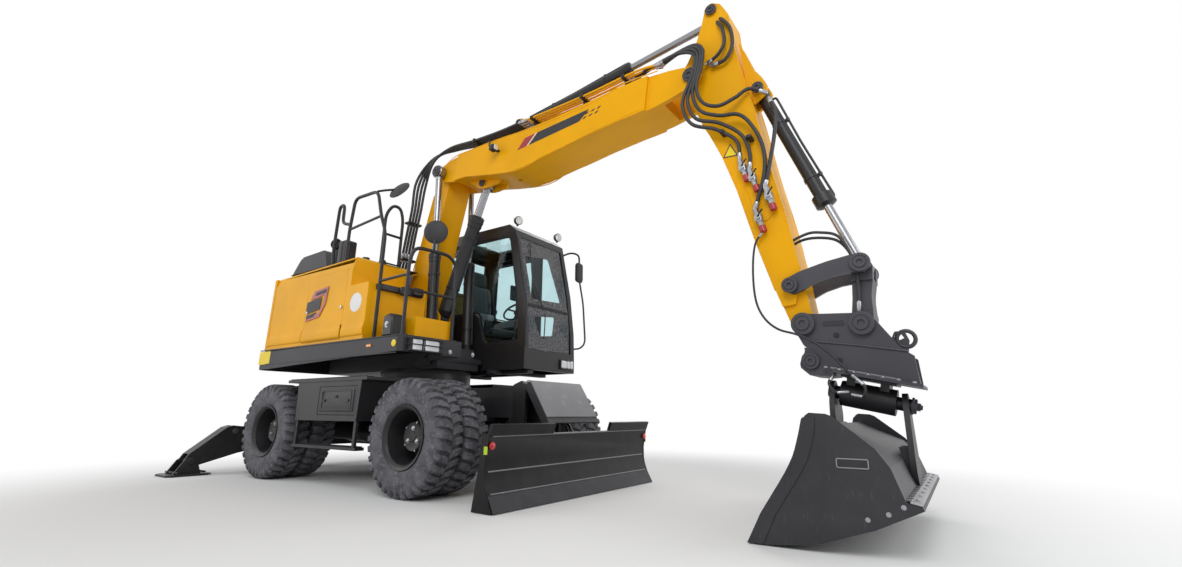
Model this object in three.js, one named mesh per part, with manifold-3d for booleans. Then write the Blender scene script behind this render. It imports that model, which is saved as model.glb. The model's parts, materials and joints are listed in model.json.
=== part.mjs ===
// A wheeled excavator with twin tyres, dozer blade, outriggers, two-piece boom, quick coupler,
// rotary tilt actuator and grading bucket. Millimetres, +X to the blade and boom, +Y to the
// operator's left, +Z up. Outlines are [x, z] in side view, [x, y] in plan and [y, z] from the end.
import * as THREE from "three";
import { mergeVertices } from "three/addons/utils/BufferGeometryUtils.js";
import Module from "manifold-3d";

const wasm = await Module();
wasm.setup();

// ---------------------------------------------------------------------------------------------
// Driving dimensions
// ---------------------------------------------------------------------------------------------
const SIDES = 10; // sides of a pin, an eye or a boss
const FIT = 0.5; // clearance between a pin and its hole, and between touching pieces
const SIDE_PLAY = 2; // clearance at each side of a moving eye or hub
const LEFT = 1;
const RIGHT = -1;

const WHEELBASE = 2550;
const FRONT_AXLE_X = WHEELBASE / 2;
const REAR_AXLE_X = -WHEELBASE / 2;
const OVERALL_WIDTH = 2500;
const TYRE_RADIUS = 530;
const TYRE_WIDTH = 280;
const TWIN_PITCH = 310;
const TYRE_WALL = 34;
const RIM_RADIUS = 262;
const RIM_WALL = 14;
const FLANGE_RADIUS = 300;
const HUB_RADIUS = 132;
const WHEEL_SEGMENTS = 16;
const TREAD_CORNER = TYRE_RADIUS / Math.cos(Math.PI / WHEEL_SEGMENTS); // flats roll at the radius
const KINGPIN_Y = 560;
const KINGPIN_RADIUS = 38;

const FRAME_HALF = 300;
const FRAME_FLOOR = 700;
const FRAME_TOP = 1000;
const RING_RADIUS = 540;
const RING_TOP = 1190;

const BLADE_PIVOT = [FRONT_AXLE_X + 555, 480];
const BLADE_HALF = 1275;
const BLADE_TIP = FRONT_AXLE_X + 1191;
const BLADE_HEIGHT = 575;
const BLADE_LIFT_TOP = [BLADE_PIVOT[0] + 20, 990];
const BLADE_LIFT_EYE = [BLADE_PIVOT[0] + 405, 420];
const BLADE_LIFT_Y = 150;

const OUTRIGGER_X = REAR_AXLE_X - 1075;
const OUTRIGGER_WIDTH = 190;
const OUTRIGGER_HINGE = [520, 400];
const OUTRIGGER_FOOT = [1561, 159];
const OUTRIGGER_CYL_BASE = [340, 690];
const OUTRIGGER_CYL_EYE = [1134, 500];

const HOUSE_HALF = 1250;
const HOUSE_REAR = -1680;
const DECK_FRONT = 1117;
const DECK_TOP = 1480;
const BODY_TOP = 2440;
const BODY_FRONT = 125;
const BODY_WALL = 25;
const SPLIT_REAR = -745;

const CAB_REAR = -300;
const CAB_FRONT = 1368;
const CAB_RIGHT = 270;
const CAB_FLOOR = 1240;
const CAB_SILL = 1430;
const CAB_ROOF = 3075;
const CAB_WALL = 45;

const BOOM_Y = -100; // centre plane of the whole arm
const BOOM_FOOT = [80, 1720];
const BOOM_JOINT = [385, 3710];
const LIFT_BASE = [490, 1380];
const LIFT_OFFSET = 280;
const ADJUST_BASE = [330, 1855];
const ADJUST_EYE = [991, 3479];
const STICK_PIVOT = [3824, 3816];
const STICK_TAIL = [4045, 4474];
const STICK_CYL_BASE = [1560, 4120];
const BUCKET_CYL_BASE = [4402, 3526];
const ROCKER_PIN = [4541, 1698];
const ROCKER_TOP = [5038, 1804];
const COUPLER_PIN = [4604, 1398];
const LINK_FOOT = [4996, 1370];
const HOOK_PIN = [4635, 1124];
const TILT_FRONT = [4690, 925];
const TILT_REAR = [5240, 803];
const BUCKET_WIDTH = 1800;

const LOWER_HALF = 175; // half widths of the arm sections
const UPPER_HALF = 250;
const STICK_HALF = 165;
const COUPLER_INNER = 142;
const COUPLER_OUTER = 180;

// ---------------------------------------------------------------------------------------------
// Materials
// ---------------------------------------------------------------------------------------------
const paint = (color, roughness, metalness) =>
  new THREE.MeshStandardMaterial({ color, roughness, metalness });
const YELLOW = paint(0xf2a900, 0.35, 0.1);
const BLACK = paint(0x1b1c1e, 0.45, 0.3);
const GREY = paint(0x3f4145, 0.5, 0.4);
const CHROME = paint(0xd6d8da, 0.15, 1.0);
const RUBBER = paint(0x46474b, 0.9, 0.0);
const FABRIC = paint(0x2a2b2e, 0.95, 0.0);

// ---------------------------------------------------------------------------------------------
// Shapes
// ---------------------------------------------------------------------------------------------

// A closed geometry as a solid, moved by a matrix.
function solid(geometry, matrix = new THREE.Matrix4()) {
  const plain = geometry.index ? geometry.toNonIndexed() : geometry;
  const bare = new THREE.BufferGeometry();
  bare.setAttribute("position", plain.getAttribute("position").clone());
  bare.applyMatrix4(matrix);
  const merged = mergeVertices(bare, 1e-3);
  const mesh = new wasm.Mesh({
    numProp: 3,
    vertProperties: merged.attributes.position.array,
    triVerts: new Uint32Array(merged.index.array),
  });
  return new wasm.Manifold(mesh);
}

const join = (...bodies) => bodies.flat().reduce((sum, body) => sum.add(body));
const cut = (body, ...tools) => tools.flat().reduce((left, tool) => left.subtract(tool), body);

// A closed outline whose points are [u, v] or, with a rounded corner, [u, v, radius]. A radius
// that its neighbouring edges can't hold is drawn in.
function outline(points) {
  const shape = new THREE.Shape();
  const count = points.length;
  points.forEach(([u, v, radius = 0], i) => {
    const here = new THREE.Vector2(u, v);
    const [beforeU, beforeV] = points[(i + count - 1) % count];
    const [afterU, afterV] = points[(i + 1) % count];
    const before = new THREE.Vector2(beforeU, beforeV).sub(here);
    const after = new THREE.Vector2(afterU, afterV).sub(here);
    const reach = Math.min(radius, before.length() * 0.45, after.length() * 0.45);
    const enter = here.clone().add(before.setLength(reach));
    const leave = here.clone().add(after.setLength(reach));
    if (i === 0) shape.moveTo(enter.x, enter.y);
    else shape.lineTo(enter.x, enter.y);
    if (reach > 0) shape.quadraticCurveTo(u, v, leave.x, leave.y);
  });
  return shape;
}

function extrude(shape, depth) {
  const settings = { depth, bevelEnabled: false, curveSegments: 1 };
  return new THREE.ExtrudeGeometry(shape, settings);
}

const asShape = (points) => (Array.isArray(points) ? outline(points) : points);

// A plate whose outline is [x, z], between two values of y.
function sidePlate(points, y0, y1) {
  const place = new THREE.Matrix4().makeRotationX(Math.PI / 2);
  place.setPosition(0, Math.max(y0, y1), 0);
  return solid(extrude(asShape(points), Math.abs(y1 - y0)), place);
}

// A plate whose outline is [y, z], between two values of x.
function endPlate(points, x0, x1) {
  const place = new THREE.Matrix4().makeBasis(
    new THREE.Vector3(0, 1, 0),
    new THREE.Vector3(0, 0, 1),
    new THREE.Vector3(1, 0, 0),
  );
  place.setPosition(Math.min(x0, x1), 0, 0);
  return solid(extrude(asShape(points), Math.abs(x1 - x0)), place);
}

// A plate whose outline is [x, y], between two heights.
function plan(points, z0, z1) {
  const place = new THREE.Matrix4().makeTranslation(0, 0, Math.min(z0, z1));
  return solid(extrude(asShape(points), Math.abs(z1 - z0)), place);
}

function block(x0, x1, y0, y1, z0, z1) {
  const box = new THREE.BoxGeometry(Math.abs(x1 - x0), Math.abs(y1 - y0), Math.abs(z1 - z0));
  const place = new THREE.Matrix4();
  place.makeTranslation((x0 + x1) / 2, (y0 + y1) / 2, (z0 + z1) / 2);
  return solid(box, place);
}

// A round bar between two points, which may taper.
function bar(from, to, radius, sides = SIDES, radiusTo = radius) {
  const start = new THREE.Vector3(...from);
  const end = new THREE.Vector3(...to);
  const along = end.clone().sub(start);
  const geometry = new THREE.CylinderGeometry(radiusTo, radius, along.length(), sides);
  const turn = new THREE.Quaternion().setFromUnitVectors(
    new THREE.Vector3(0, 1, 0),
    along.clone().normalize(),
  );
  const place = new THREE.Matrix4().makeRotationFromQuaternion(turn);
  place.setPosition(start.add(end).divideScalar(2));
  return solid(geometry, place);
}

// A round piece across the machine, at [x, z], and one along it, at [y, z].
const across = ([x, z], radius, y0, y1, sides = SIDES) =>
  bar([x, y0, z], [x, y1, z], radius, sides);
const alongX = ([y, z], radius, x0, x1, sides = SIDES) =>
  bar([x0, y, z], [x1, y, z], radius, sides);

// The radius of a hole that clears a pin of the same number of sides, however either is turned.
const holeFor = (pinRadius, sides = SIDES) => pinRadius / Math.cos(Math.PI / sides) + FIT;

// The outline of a strap round two circles, each [u, v] with its radius.
function strap(a, radiusA, b, radiusB, steps = 7) {
  const span = Math.hypot(b[0] - a[0], b[1] - a[1]);
  const heading = Math.atan2(b[1] - a[1], b[0] - a[0]);
  const open = Math.acos((radiusA - radiusB) / span);
  const arc = (centre, radius, start, sweep) =>
    Array.from({ length: steps + 1 }, (_, i) => {
      const angle = start + (sweep * i) / steps;
      return [centre[0] + radius * Math.cos(angle), centre[1] + radius * Math.sin(angle)];
    });
  return [
    ...arc(b, radiusB, heading - open, 2 * open),
    ...arc(a, radiusA, heading + open, 2 * (Math.PI - open)),
  ];
}

// A profile [radius, distance along Y] turned round the Y axis.
function turned(profile, segments) {
  const points = profile.map(([radius, along]) => new THREE.Vector2(radius, along));
  if (THREE.ShapeUtils.isClockWise(points)) points.reverse();
  return solid(new THREE.LatheGeometry(points, segments));
}

// A round tube through points, made of straight lengths that overlap at its corners.
function bentTube(points, radius, sides = 5) {
  const lengths = points.slice(1).map((end, i) => {
    const from = new THREE.Vector3(...points[i]);
    const to = new THREE.Vector3(...end);
    const more = to.clone().sub(from).setLength(radius * 0.4);
    const start = i === 0 ? from : from.clone().sub(more);
    const stop = i === points.length - 2 ? to : to.clone().add(more);
    return bar(start.toArray(), stop.toArray(), radius, sides);
  });
  return join(lengths);
}

// What a function makes for each side of a centre plane.
const bothSides = (make) => [-1, 1].map(make);

// ---------------------------------------------------------------------------------------------
// The scene graph
// ---------------------------------------------------------------------------------------------
const machine = new THREE.Group();

// A named piece from a solid, turned so that its faces point out.
function piece(name, body, material) {
  const mesh = body.getMesh();
  const indexed = new THREE.BufferGeometry();
  indexed.setAttribute("position", new THREE.BufferAttribute(mesh.vertProperties, 3));
  indexed.setIndex(new THREE.BufferAttribute(mesh.triVerts, 1));
  const geometry = indexed.toNonIndexed();
  geometry.computeVertexNormals();
  const item = new THREE.Mesh(geometry, material.clone());
  item.name = name;
  machine.add(item);
  return item;
}

const sideName = (side) => (side === LEFT ? "left" : "right");

// ---------------------------------------------------------------------------------------------
// Wheels, tyres and axles
// ---------------------------------------------------------------------------------------------
const outerTyreY = OVERALL_WIDTH / 2 - TYRE_WIDTH / 2;
const innerTyreY = outerTyreY - TWIN_PITCH;
const beadHalf = 95;

// One hollow tyre, open to the rim, with its centre plane at y.
function tyre(y) {
  const half = TYRE_WIDTH / 2;
  const seat = RIM_RADIUS + 2;
  const profile = [
    [seat, y - beadHalf],
    [FLANGE_RADIUS + 5, y - beadHalf],
    [410, y - half],
    [TREAD_CORNER, y - half + 20],
    [TREAD_CORNER, y + half - 20],
    [410, y + half],
    [FLANGE_RADIUS + 5, y + beadHalf],
    [seat, y + beadHalf],
    [seat, y + beadHalf - TYRE_WALL],
    [410, y + half - TYRE_WALL],
    [488, y],
    [410, y - half + TYRE_WALL],
    [seat, y - beadHalf + TYRE_WALL],
    [seat, y - beadHalf],
  ];
  return turned(profile, WHEEL_SEGMENTS);
}

// The two tyres of a twin wheel, with the spacer ring between their beads.
function twinTyres() {
  const ringLow = innerTyreY + beadHalf - 8;
  const ringHigh = outerTyreY - beadHalf + 8;
  const ring = [
    [RIM_RADIUS + 3, ringLow],
    [RIM_RADIUS + 28, ringLow],
    [RIM_RADIUS + 28, ringHigh],
    [RIM_RADIUS + 3, ringHigh],
    [RIM_RADIUS + 3, ringLow],
  ];
  return join(tyre(outerTyreY), tyre(innerTyreY), turned(ring, WHEEL_SEGMENTS));
}

// The twin rim with its disc and planetary hub. The axle's spindle ends inside the drum.
const drumInner = 850;
function twinRim() {
  const inside = RIM_RADIUS - RIM_WALL;
  const outerEdge = outerTyreY + beadHalf;
  const innerEdge = innerTyreY - beadHalf;
  const disc = outerTyreY - 60;
  return turned(
    [
      [0, outerEdge - 36],
      [HUB_RADIUS - 34, outerEdge - 36],
      [HUB_RADIUS, outerEdge - 60],
      [HUB_RADIUS, disc + 12],
      [inside, disc],
      [inside, outerEdge + 9],
      [FLANGE_RADIUS, outerEdge + 11],
      [FLANGE_RADIUS, outerEdge + 3],
      [RIM_RADIUS, outerEdge + 1],
      [RIM_RADIUS, innerEdge - 1],
      [FLANGE_RADIUS, innerEdge - 3],
      [FLANGE_RADIUS, innerEdge - 11],
      [inside, innerEdge - 9],
      [inside, disc - 14],
      [HUB_RADIUS + 30, disc - 14],
      [HUB_RADIUS + 30, drumInner],
      [0, drumInner],
    ],
    WHEEL_SEGMENTS,
  );
}

for (const [end, x] of [["front", FRONT_AXLE_X], ["rear", REAR_AXLE_X]]) {
  for (const side of [LEFT, RIGHT]) {
    const place = new THREE.Vector3(x, 0, TYRE_RADIUS);
    const rim = piece(`wheel_${end}_${sideName(side)}`, twinRim(), BLACK);
    const tyres = piece(`tyres_${end}_${sideName(side)}`, twinTyres(), RUBBER);
    for (const item of [rim, tyres]) {
      item.position.copy(place);
      item.rotation.set(0, Math.PI / WHEEL_SEGMENTS, side === LEFT ? 0 : Math.PI, "ZYX");
    }
  }
}

// The front axle's beam with a fork at each end for its knuckle, and the rear axle's rigid tube.
const forkHeight = 92;
const knuckleHalf = 70;
function axleBody(x, reach) {
  const centre = [x, TYRE_RADIUS];
  const tapered = (side) =>
    bar([x, side * 130, TYRE_RADIUS], [x, side * reach, TYRE_RADIUS], 135, SIDES, 88);
  return join(
    across(centre, 135, -140, 140),
    bar([x - 190, 0, TYRE_RADIUS], [x + 190, 0, TYRE_RADIUS], 165, SIDES),
    tapered(LEFT),
    tapered(RIGHT),
    block(x - 120, x + 120, -200, 200, TYRE_RADIUS + 90, FRAME_FLOOR - FIT),
  );
}

function frontAxle() {
  const x = FRONT_AXLE_X;
  let beam = axleBody(x, KINGPIN_Y - 130);
  for (const side of [LEFT, RIGHT]) {
    const y = side * KINGPIN_Y;
    for (const level of [-1, 1]) {
      const z0 = TYRE_RADIUS + level * (knuckleHalf + SIDE_PLAY);
      const z1 = TYRE_RADIUS + level * (forkHeight + 8);
      const root = side * (KINGPIN_Y - 150);
      beam = join(
        beam,
        plan(strap([x, root], 85, [x, y], 62), z0, z1),
        bar([x, y, z0 - level * (SIDE_PLAY + 40)], [x, y, z1], KINGPIN_RADIUS),
      );
    }
    beam = join(beam, block(x - 80, x + 80, side * 400, side * 430, 430, 630));
  }
  return beam;
}

function knuckle(side) {
  const x = FRONT_AXLE_X;
  const y = side * KINGPIN_Y;
  const spindleEnd = side * (drumInner - SIDE_PLAY);
  const head = bar(
    [x, y, TYRE_RADIUS - knuckleHalf],
    [x, y, TYRE_RADIUS + knuckleHalf],
    68,
  );
  const spindle = across([x, TYRE_RADIUS], 68, y, spindleEnd);
  const flange = across([x, TYRE_RADIUS], 150, side * 690, side * 720);
  const hub = across([x, TYRE_RADIUS], 120, side * 715, spindleEnd);
  const arm = plan(
    strap([x, y], 50, [x - 190, side * (KINGPIN_Y - 40)], 32),
    TYRE_RADIUS - 45,
    TYRE_RADIUS - 10,
  );
  const sockets = [-1, 1].map((level) =>
    bar(
      [x, y, TYRE_RADIUS + level * (knuckleHalf - 42)],
      [x, y, TYRE_RADIUS + level * (knuckleHalf + 5)],
      holeFor(KINGPIN_RADIUS),
    ),
  );
  return cut(join(head, spindle, flange, hub, arm), sockets);
}

function rearAxle() {
  const x = REAR_AXLE_X;
  const reach = 640;
  const ends = [LEFT, RIGHT].flatMap((side) => [
    across([x, TYRE_RADIUS], 150, side * (reach - 10), side * (reach + 40)),
    across([x, TYRE_RADIUS], 120, side * (reach + 30), side * (drumInner - SIDE_PLAY)),
  ]);
  return join(axleBody(x, reach), ends);
}

piece("front_axle", frontAxle(), BLACK);
piece("rear_axle", rearAxle(), BLACK);
for (const side of [LEFT, RIGHT]) piece(`knuckle_${sideName(side)}`, knuckle(side), BLACK);

// ---------------------------------------------------------------------------------------------
// Chassis
// ---------------------------------------------------------------------------------------------
const carrierFront = OUTRIGGER_X + OUTRIGGER_WIDTH / 2 + SIDE_PLAY + 40;
const carrierRear = OUTRIGGER_X - OUTRIGGER_WIDTH / 2 - SIDE_PLAY;
const carrierHalf = 640;
const PLATE = 25;
const BOX_REAR = REAR_AXLE_X + 545; // the tool boxes between the wheels
const BOX_FRONT = FRONT_AXLE_X - 775;
const BOX_OUTER = 1200;
const BOX_INNER = 620;
const BOX_FLOOR = 655;
const BOX_TOP = 1065;
const DOOR_REAR = BOX_REAR + 470;
const DOOR_FRONT = BOX_FRONT - 70;
const DOOR_LOW = 715;
const DOOR_HIGH = 1005;
const DOOR_DEPTH = 28;
const STEP_LEVEL = 390;
const outriggerPin = 34;

// One tool box with its door opening, cover flange, brackets to the frame and hanging step.
function toolBox(side) {
  const body = sidePlate(
    [
      [BOX_REAR + 10, BOX_TOP],
      [BOX_REAR + 40, BOX_FLOOR],
      [BOX_FRONT - 30, BOX_FLOOR],
      [BOX_FRONT, BOX_TOP],
    ],
    side * BOX_INNER,
    side * BOX_OUTER,
  );
  const inside = block(
    DOOR_REAR - 5, DOOR_FRONT - 10,
    side * (BOX_INNER + PLATE), side * (BOX_OUTER - DOOR_DEPTH - 2),
    DOOR_LOW - 20, DOOR_HIGH + 20,
  );
  const mouth = block(
    DOOR_REAR - 3, DOOR_FRONT + 3,
    side * (BOX_OUTER - DOOR_DEPTH - 4), side * (BOX_OUTER + 5),
    DOOR_LOW - 3, DOOR_HIGH + 3,
  );
  const cover = block(
    BOX_REAR - 200, BOX_FRONT + 100,
    side * (BOX_INNER - 60), side * (BOX_OUTER + 12),
    BOX_TOP - 2, BOX_TOP + 30,
  );
  const posts = [BOX_REAR + 60, BOX_FRONT - 60].map((x) =>
    block(x - 20, x + 20, side * (BOX_OUTER - 45), side * (BOX_OUTER - 15), STEP_LEVEL, 680),
  );
  const tread = block(
    BOX_REAR + 45, BOX_FRONT + 18,
    side * (BOX_OUTER - 95), side * (BOX_OUTER + 5),
    STEP_LEVEL - 15, STEP_LEVEL + 15,
  );
  const brackets = [BOX_REAR + 250, BOX_FRONT - 250].map((x) =>
    block(x - 60, x + 60, side * (FRAME_HALF + FIT), side * (BOX_INNER + 20), 800, 900),
  );
  const shell = cut(body, inside, mouth);
  return join(shell, cover, posts, tread, brackets);
}

function toolBoxDoor(side) {
  const panel = block(
    DOOR_REAR, DOOR_FRONT,
    side * (BOX_OUTER - DOOR_DEPTH), side * (BOX_OUTER - 2),
    DOOR_LOW, DOOR_HIGH,
  );
  const frame = block(
    DOOR_REAR + 35, DOOR_FRONT - 35,
    side * (BOX_OUTER - 6), side * (BOX_OUTER + 6),
    DOOR_LOW + 35, DOOR_HIGH - 35,
  );
  return join(panel, frame);
}

// The carrier at the rear end: the legs hinge between its front box and its rear plate.
function outriggerCarrier() {
  const face = [
    [-carrierHalf, 300, 60],
    [carrierHalf, 300, 60],
    [carrierHalf, 520, 40],
    [430, 900, 60],
    [-430, 900, 60],
    [-carrierHalf, 520, 40],
  ];
  const box = endPlate(face, carrierFront - 40, carrierFront + 190);
  const rear = endPlate(face, carrierRear - 30, carrierRear);
  const middle = block(carrierRear - 5, carrierFront, -215, 215, 330, 870);
  const pins = [LEFT, RIGHT].flatMap((side) =>
    [OUTRIGGER_HINGE, OUTRIGGER_CYL_BASE].map(([y, z]) =>
      alongX([side * y, z], outriggerPin, carrierRear - 45, carrierFront),
    ),
  );
  return join(box, rear, middle, pins);
}

function chassisFrame() {
  const noseX = BLADE_PIVOT[0] - 90;
  const tailX = OUTRIGGER_X + 450;
  const rails = sidePlate(
    [
      [carrierFront + 180, FRAME_FLOOR + 40],
      [carrierFront + 180, FRAME_TOP - 120],
      [-900, FRAME_TOP],
      [noseX - 60, FRAME_TOP],
      [noseX, FRAME_TOP - 80],
      [noseX, FRAME_FLOOR],
      [tailX, FRAME_FLOOR],
    ],
    -FRAME_HALF,
    FRAME_HALF,
  );
  const hollow = block(
    tailX + 50, noseX - 40,
    -FRAME_HALF + PLATE, FRAME_HALF - PLATE,
    FRAME_FLOOR - 100, FRAME_TOP - PLATE,
  );
  const ribs = [REAR_AXLE_X, -450, 450, FRONT_AXLE_X].map((x) =>
    block(x - 130, x + 130, -FRAME_HALF, FRAME_HALF, FRAME_FLOOR, FRAME_FLOOR + 60),
  );
  const ring = bar([0, 0, FRAME_TOP - 10], [0, 0, RING_TOP], RING_RADIUS, 20);
  const well = bar([0, 0, FRAME_TOP - 60], [0, 0, RING_TOP + 5], RING_RADIUS - 90, 16);
  const wings = plan(
    [
      [-620, -540],
      [620, -540],
      [760, -FRAME_HALF],
      [760, FRAME_HALF],
      [620, 540],
      [-620, 540],
      [-760, FRAME_HALF],
      [-760, -FRAME_HALF],
    ],
    FRAME_TOP - 60,
    FRAME_TOP + 20,
  );
  const nose = bladeBrackets();
  const body = join(cut(rails, hollow), ribs, cut(join(ring, wings), well), nose);
  return join(body, outriggerCarrier(), cylinderGuard());
}

const bladeArmY = [300, 350];
const bladePin = 36;

// The plates at the front end that carry the blade's arms and its two cylinders.
function bladeBrackets() {
  const backX = BLADE_PIVOT[0] - 140;
  const face = [
    [backX, 400, 40],
    [backX + 200, 400, 70],
    [backX + 210, 560],
    [backX + 215, 1060, 60],
    [backX + 100, 1060, 60],
    [backX, 980],
  ];
  const plates = [-1, 1].flatMap((side) => [
    sidePlate(face, side * (bladeArmY[0] - 40), side * (bladeArmY[0] - SIDE_PLAY)),
    sidePlate(face, side * 60, side * 85),
  ]);
  const back = block(backX, backX + 55, -298, 298, 400, 1000);
  const armPin = across(BLADE_PIVOT, bladePin, -bladeArmY[1] - 22, bladeArmY[1] + 22);
  const heads = bothSides((side) =>
    across(BLADE_PIVOT, 58, side * (bladeArmY[1] + SIDE_PLAY), side * (bladeArmY[1] + 22)),
  );
  const liftPins = across(BLADE_LIFT_TOP, 26, -275, 275);
  return join(plates, back, armPin, heads, liftPins);
}

// The sloping plate over the blade's cylinders.
function cylinderGuard() {
  const thick = 12;
  const top = [BLADE_TIP - 400, 1040];
  const foot = [BLADE_TIP - 154, 660];
  const sheet = sidePlate(
    [
      [top[0] - 60, top[1] + 6],
      [top[0], top[1]],
      foot,
      [foot[0] - 10, foot[1] - thick],
      [top[0] - 12, top[1] - thick],
      [top[0] - 60, top[1] - thick + 4],
    ],
    -420,
    420,
  );
  const cheeks = bothSides((side) =>
    sidePlate(
      [
        [top[0] - 6, top[1] - 4],
        [foot[0] - 8, foot[1] - 4],
        [foot[0] - 90, foot[1] - 4],
        [top[0] - 80, top[1] - 20],
      ],
      side * 408,
      side * 420,
    ),
  );
  const stays = bothSides((side) =>
    block(top[0] - 186, top[0] - 16, side * 262, side * 296, 1004, 1034),
  );
  return join(sheet, cheeks, stays);
}

piece("chassis_frame", chassisFrame(), BLACK);
for (const side of [LEFT, RIGHT]) {
  piece(`tool_box_${sideName(side)}`, toolBox(side), BLACK);
  piece(`tool_box_door_${sideName(side)}`, toolBoxDoor(side), BLACK);
}

// ---------------------------------------------------------------------------------------------
// Dozer blade
// ---------------------------------------------------------------------------------------------
function dozerBlade() {
  const rear = BLADE_TIP - 219;
  const face = [
    [BLADE_TIP, 6],
    [BLADE_TIP - 78, 150, 60],
    [BLADE_TIP - 112, 320, 60],
    [BLADE_TIP - 66, BLADE_HEIGHT],
    [BLADE_TIP - 96, BLADE_HEIGHT],
    [BLADE_TIP - 136, 320, 60],
    [BLADE_TIP - 110, 140, 60],
    [BLADE_TIP - 40, 6],
  ];
  const moldboard = sidePlate(face, -BLADE_HALF + 8, BLADE_HALF - 8);
  const backBeam = sidePlate(
    [
      [rear + 50, 120],
      [BLADE_TIP - 90, 120],
      [BLADE_TIP - 118, 330],
      [BLADE_TIP - 116, 350],
      [rear + 64, 350],
      [rear + 50, 320],
    ],
    -BLADE_HALF + 30,
    BLADE_HALF - 30,
  );
  const sides = bothSides((side) =>
    sidePlate(
      [
        [rear, 6],
        [BLADE_TIP, 6],
        [BLADE_TIP - 76, 150, 50],
        [BLADE_TIP - 110, 320, 60],
        [BLADE_TIP - 62, BLADE_HEIGHT + 10],
        [rear + 80, BLADE_HEIGHT + 10],
        [rear + 50, 300],
      ],
      side * (BLADE_HALF - 22),
      side * BLADE_HALF,
    ),
  );
  const flanges = bothSides((side) =>
    sidePlate(
      [
        [BLADE_TIP - 96, BLADE_HEIGHT - 12],
        [BLADE_TIP - 62, BLADE_HEIGHT - 12],
        [BLADE_TIP - 26, 655],
        [BLADE_TIP - 60, 662],
      ],
      side * 470,
      side * (BLADE_HALF - 4),
    ),
  );
  const arms = bothSides((side) =>
    sidePlate(
      strap(BLADE_PIVOT, 66, [rear + 38, 240], 68),
      side * bladeArmY[0],
      side * bladeArmY[1],
    ),
  );
  const holes = across(BLADE_PIVOT, holeFor(bladePin), -400, 400);
  const lugs = [-1, 1].flatMap((side) =>
    [-52, 30].map((offset) => {
      const y = side * BLADE_LIFT_Y + offset;
      return sidePlate(strap([rear + 48, 280], 50, BLADE_LIFT_EYE, 42), y, y + 22);
    }),
  );
  return join(moldboard, backBeam, sides, flanges, cut(join(arms), holes), lugs);
}

// A cylinder's barrel from its base eye to its gland, and the rod from the gland to its free eye.
// The plane is y, the base eye turns on a pin, and the rod's eye lies beside its lugs.
function barrelOf({ base, eye, y, reach, radius, pin, eyeHalf, neck = 0, gland = 1.2 }) {
  const from = new THREE.Vector2(...base);
  const heading = new THREE.Vector2(...eye).sub(from).normalize();
  const at = (distance) => {
    const point = from.clone().addScaledVector(heading, distance);
    return [point.x, y, point.y];
  };
  const start = Math.max(pin * 1.4, neck);
  const shank = bar(at(pin * 1.4), at(start + 12), Math.min(radius, eyeHalf) * 0.95);
  const tube = bar(at(start), at(reach), radius);
  const head = bar(at(reach - radius * 1.7), at(reach), radius * gland);
  const foot = across(base, pin * 1.9, y - eyeHalf, y + eyeHalf);
  const bore = bar(at(start + 25), at(reach + 5), radius * 0.66 + 2);
  const hole = across(base, holeFor(pin), y - eyeHalf - 5, y + eyeHalf + 5);
  return cut(join(shank, tube, head, foot), bore, hole);
}

function rodOf({ base, eye, y, reach, radius, eyeRadius, eyeHalf, inside = 350 }) {
  const from = new THREE.Vector2(...base);
  const span = new THREE.Vector2(...eye).sub(from);
  const heading = span.clone().normalize();
  const at = (distance) => {
    const point = from.clone().addScaledVector(heading, distance);
    return [point.x, y, point.y];
  };
  const shaft = bar(at(reach - inside), at(span.length() - eyeRadius * 0.5), radius * 0.62);
  return join(shaft, across(eye, eyeRadius, y - eyeHalf, y + eyeHalf));
}

piece("dozer_blade", dozerBlade(), BLACK);
for (const side of [LEFT, RIGHT]) {
  const lift = {
    base: BLADE_LIFT_TOP,
    eye: BLADE_LIFT_EYE,
    y: side * BLADE_LIFT_Y,
    reach: 430,
    radius: 48,
    pin: 26,
    eyeHalf: 26,
    eyeRadius: 42,
    inside: 180,
  };
  piece(`blade_barrel_${sideName(side)}`, barrelOf(lift), BLACK);
  piece(`blade_rod_${sideName(side)}`, rodOf(lift), CHROME);
}

// ---------------------------------------------------------------------------------------------
// Outriggers
// ---------------------------------------------------------------------------------------------
const legHalf = OUTRIGGER_WIDTH / 2;
const footPin = 38;

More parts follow.
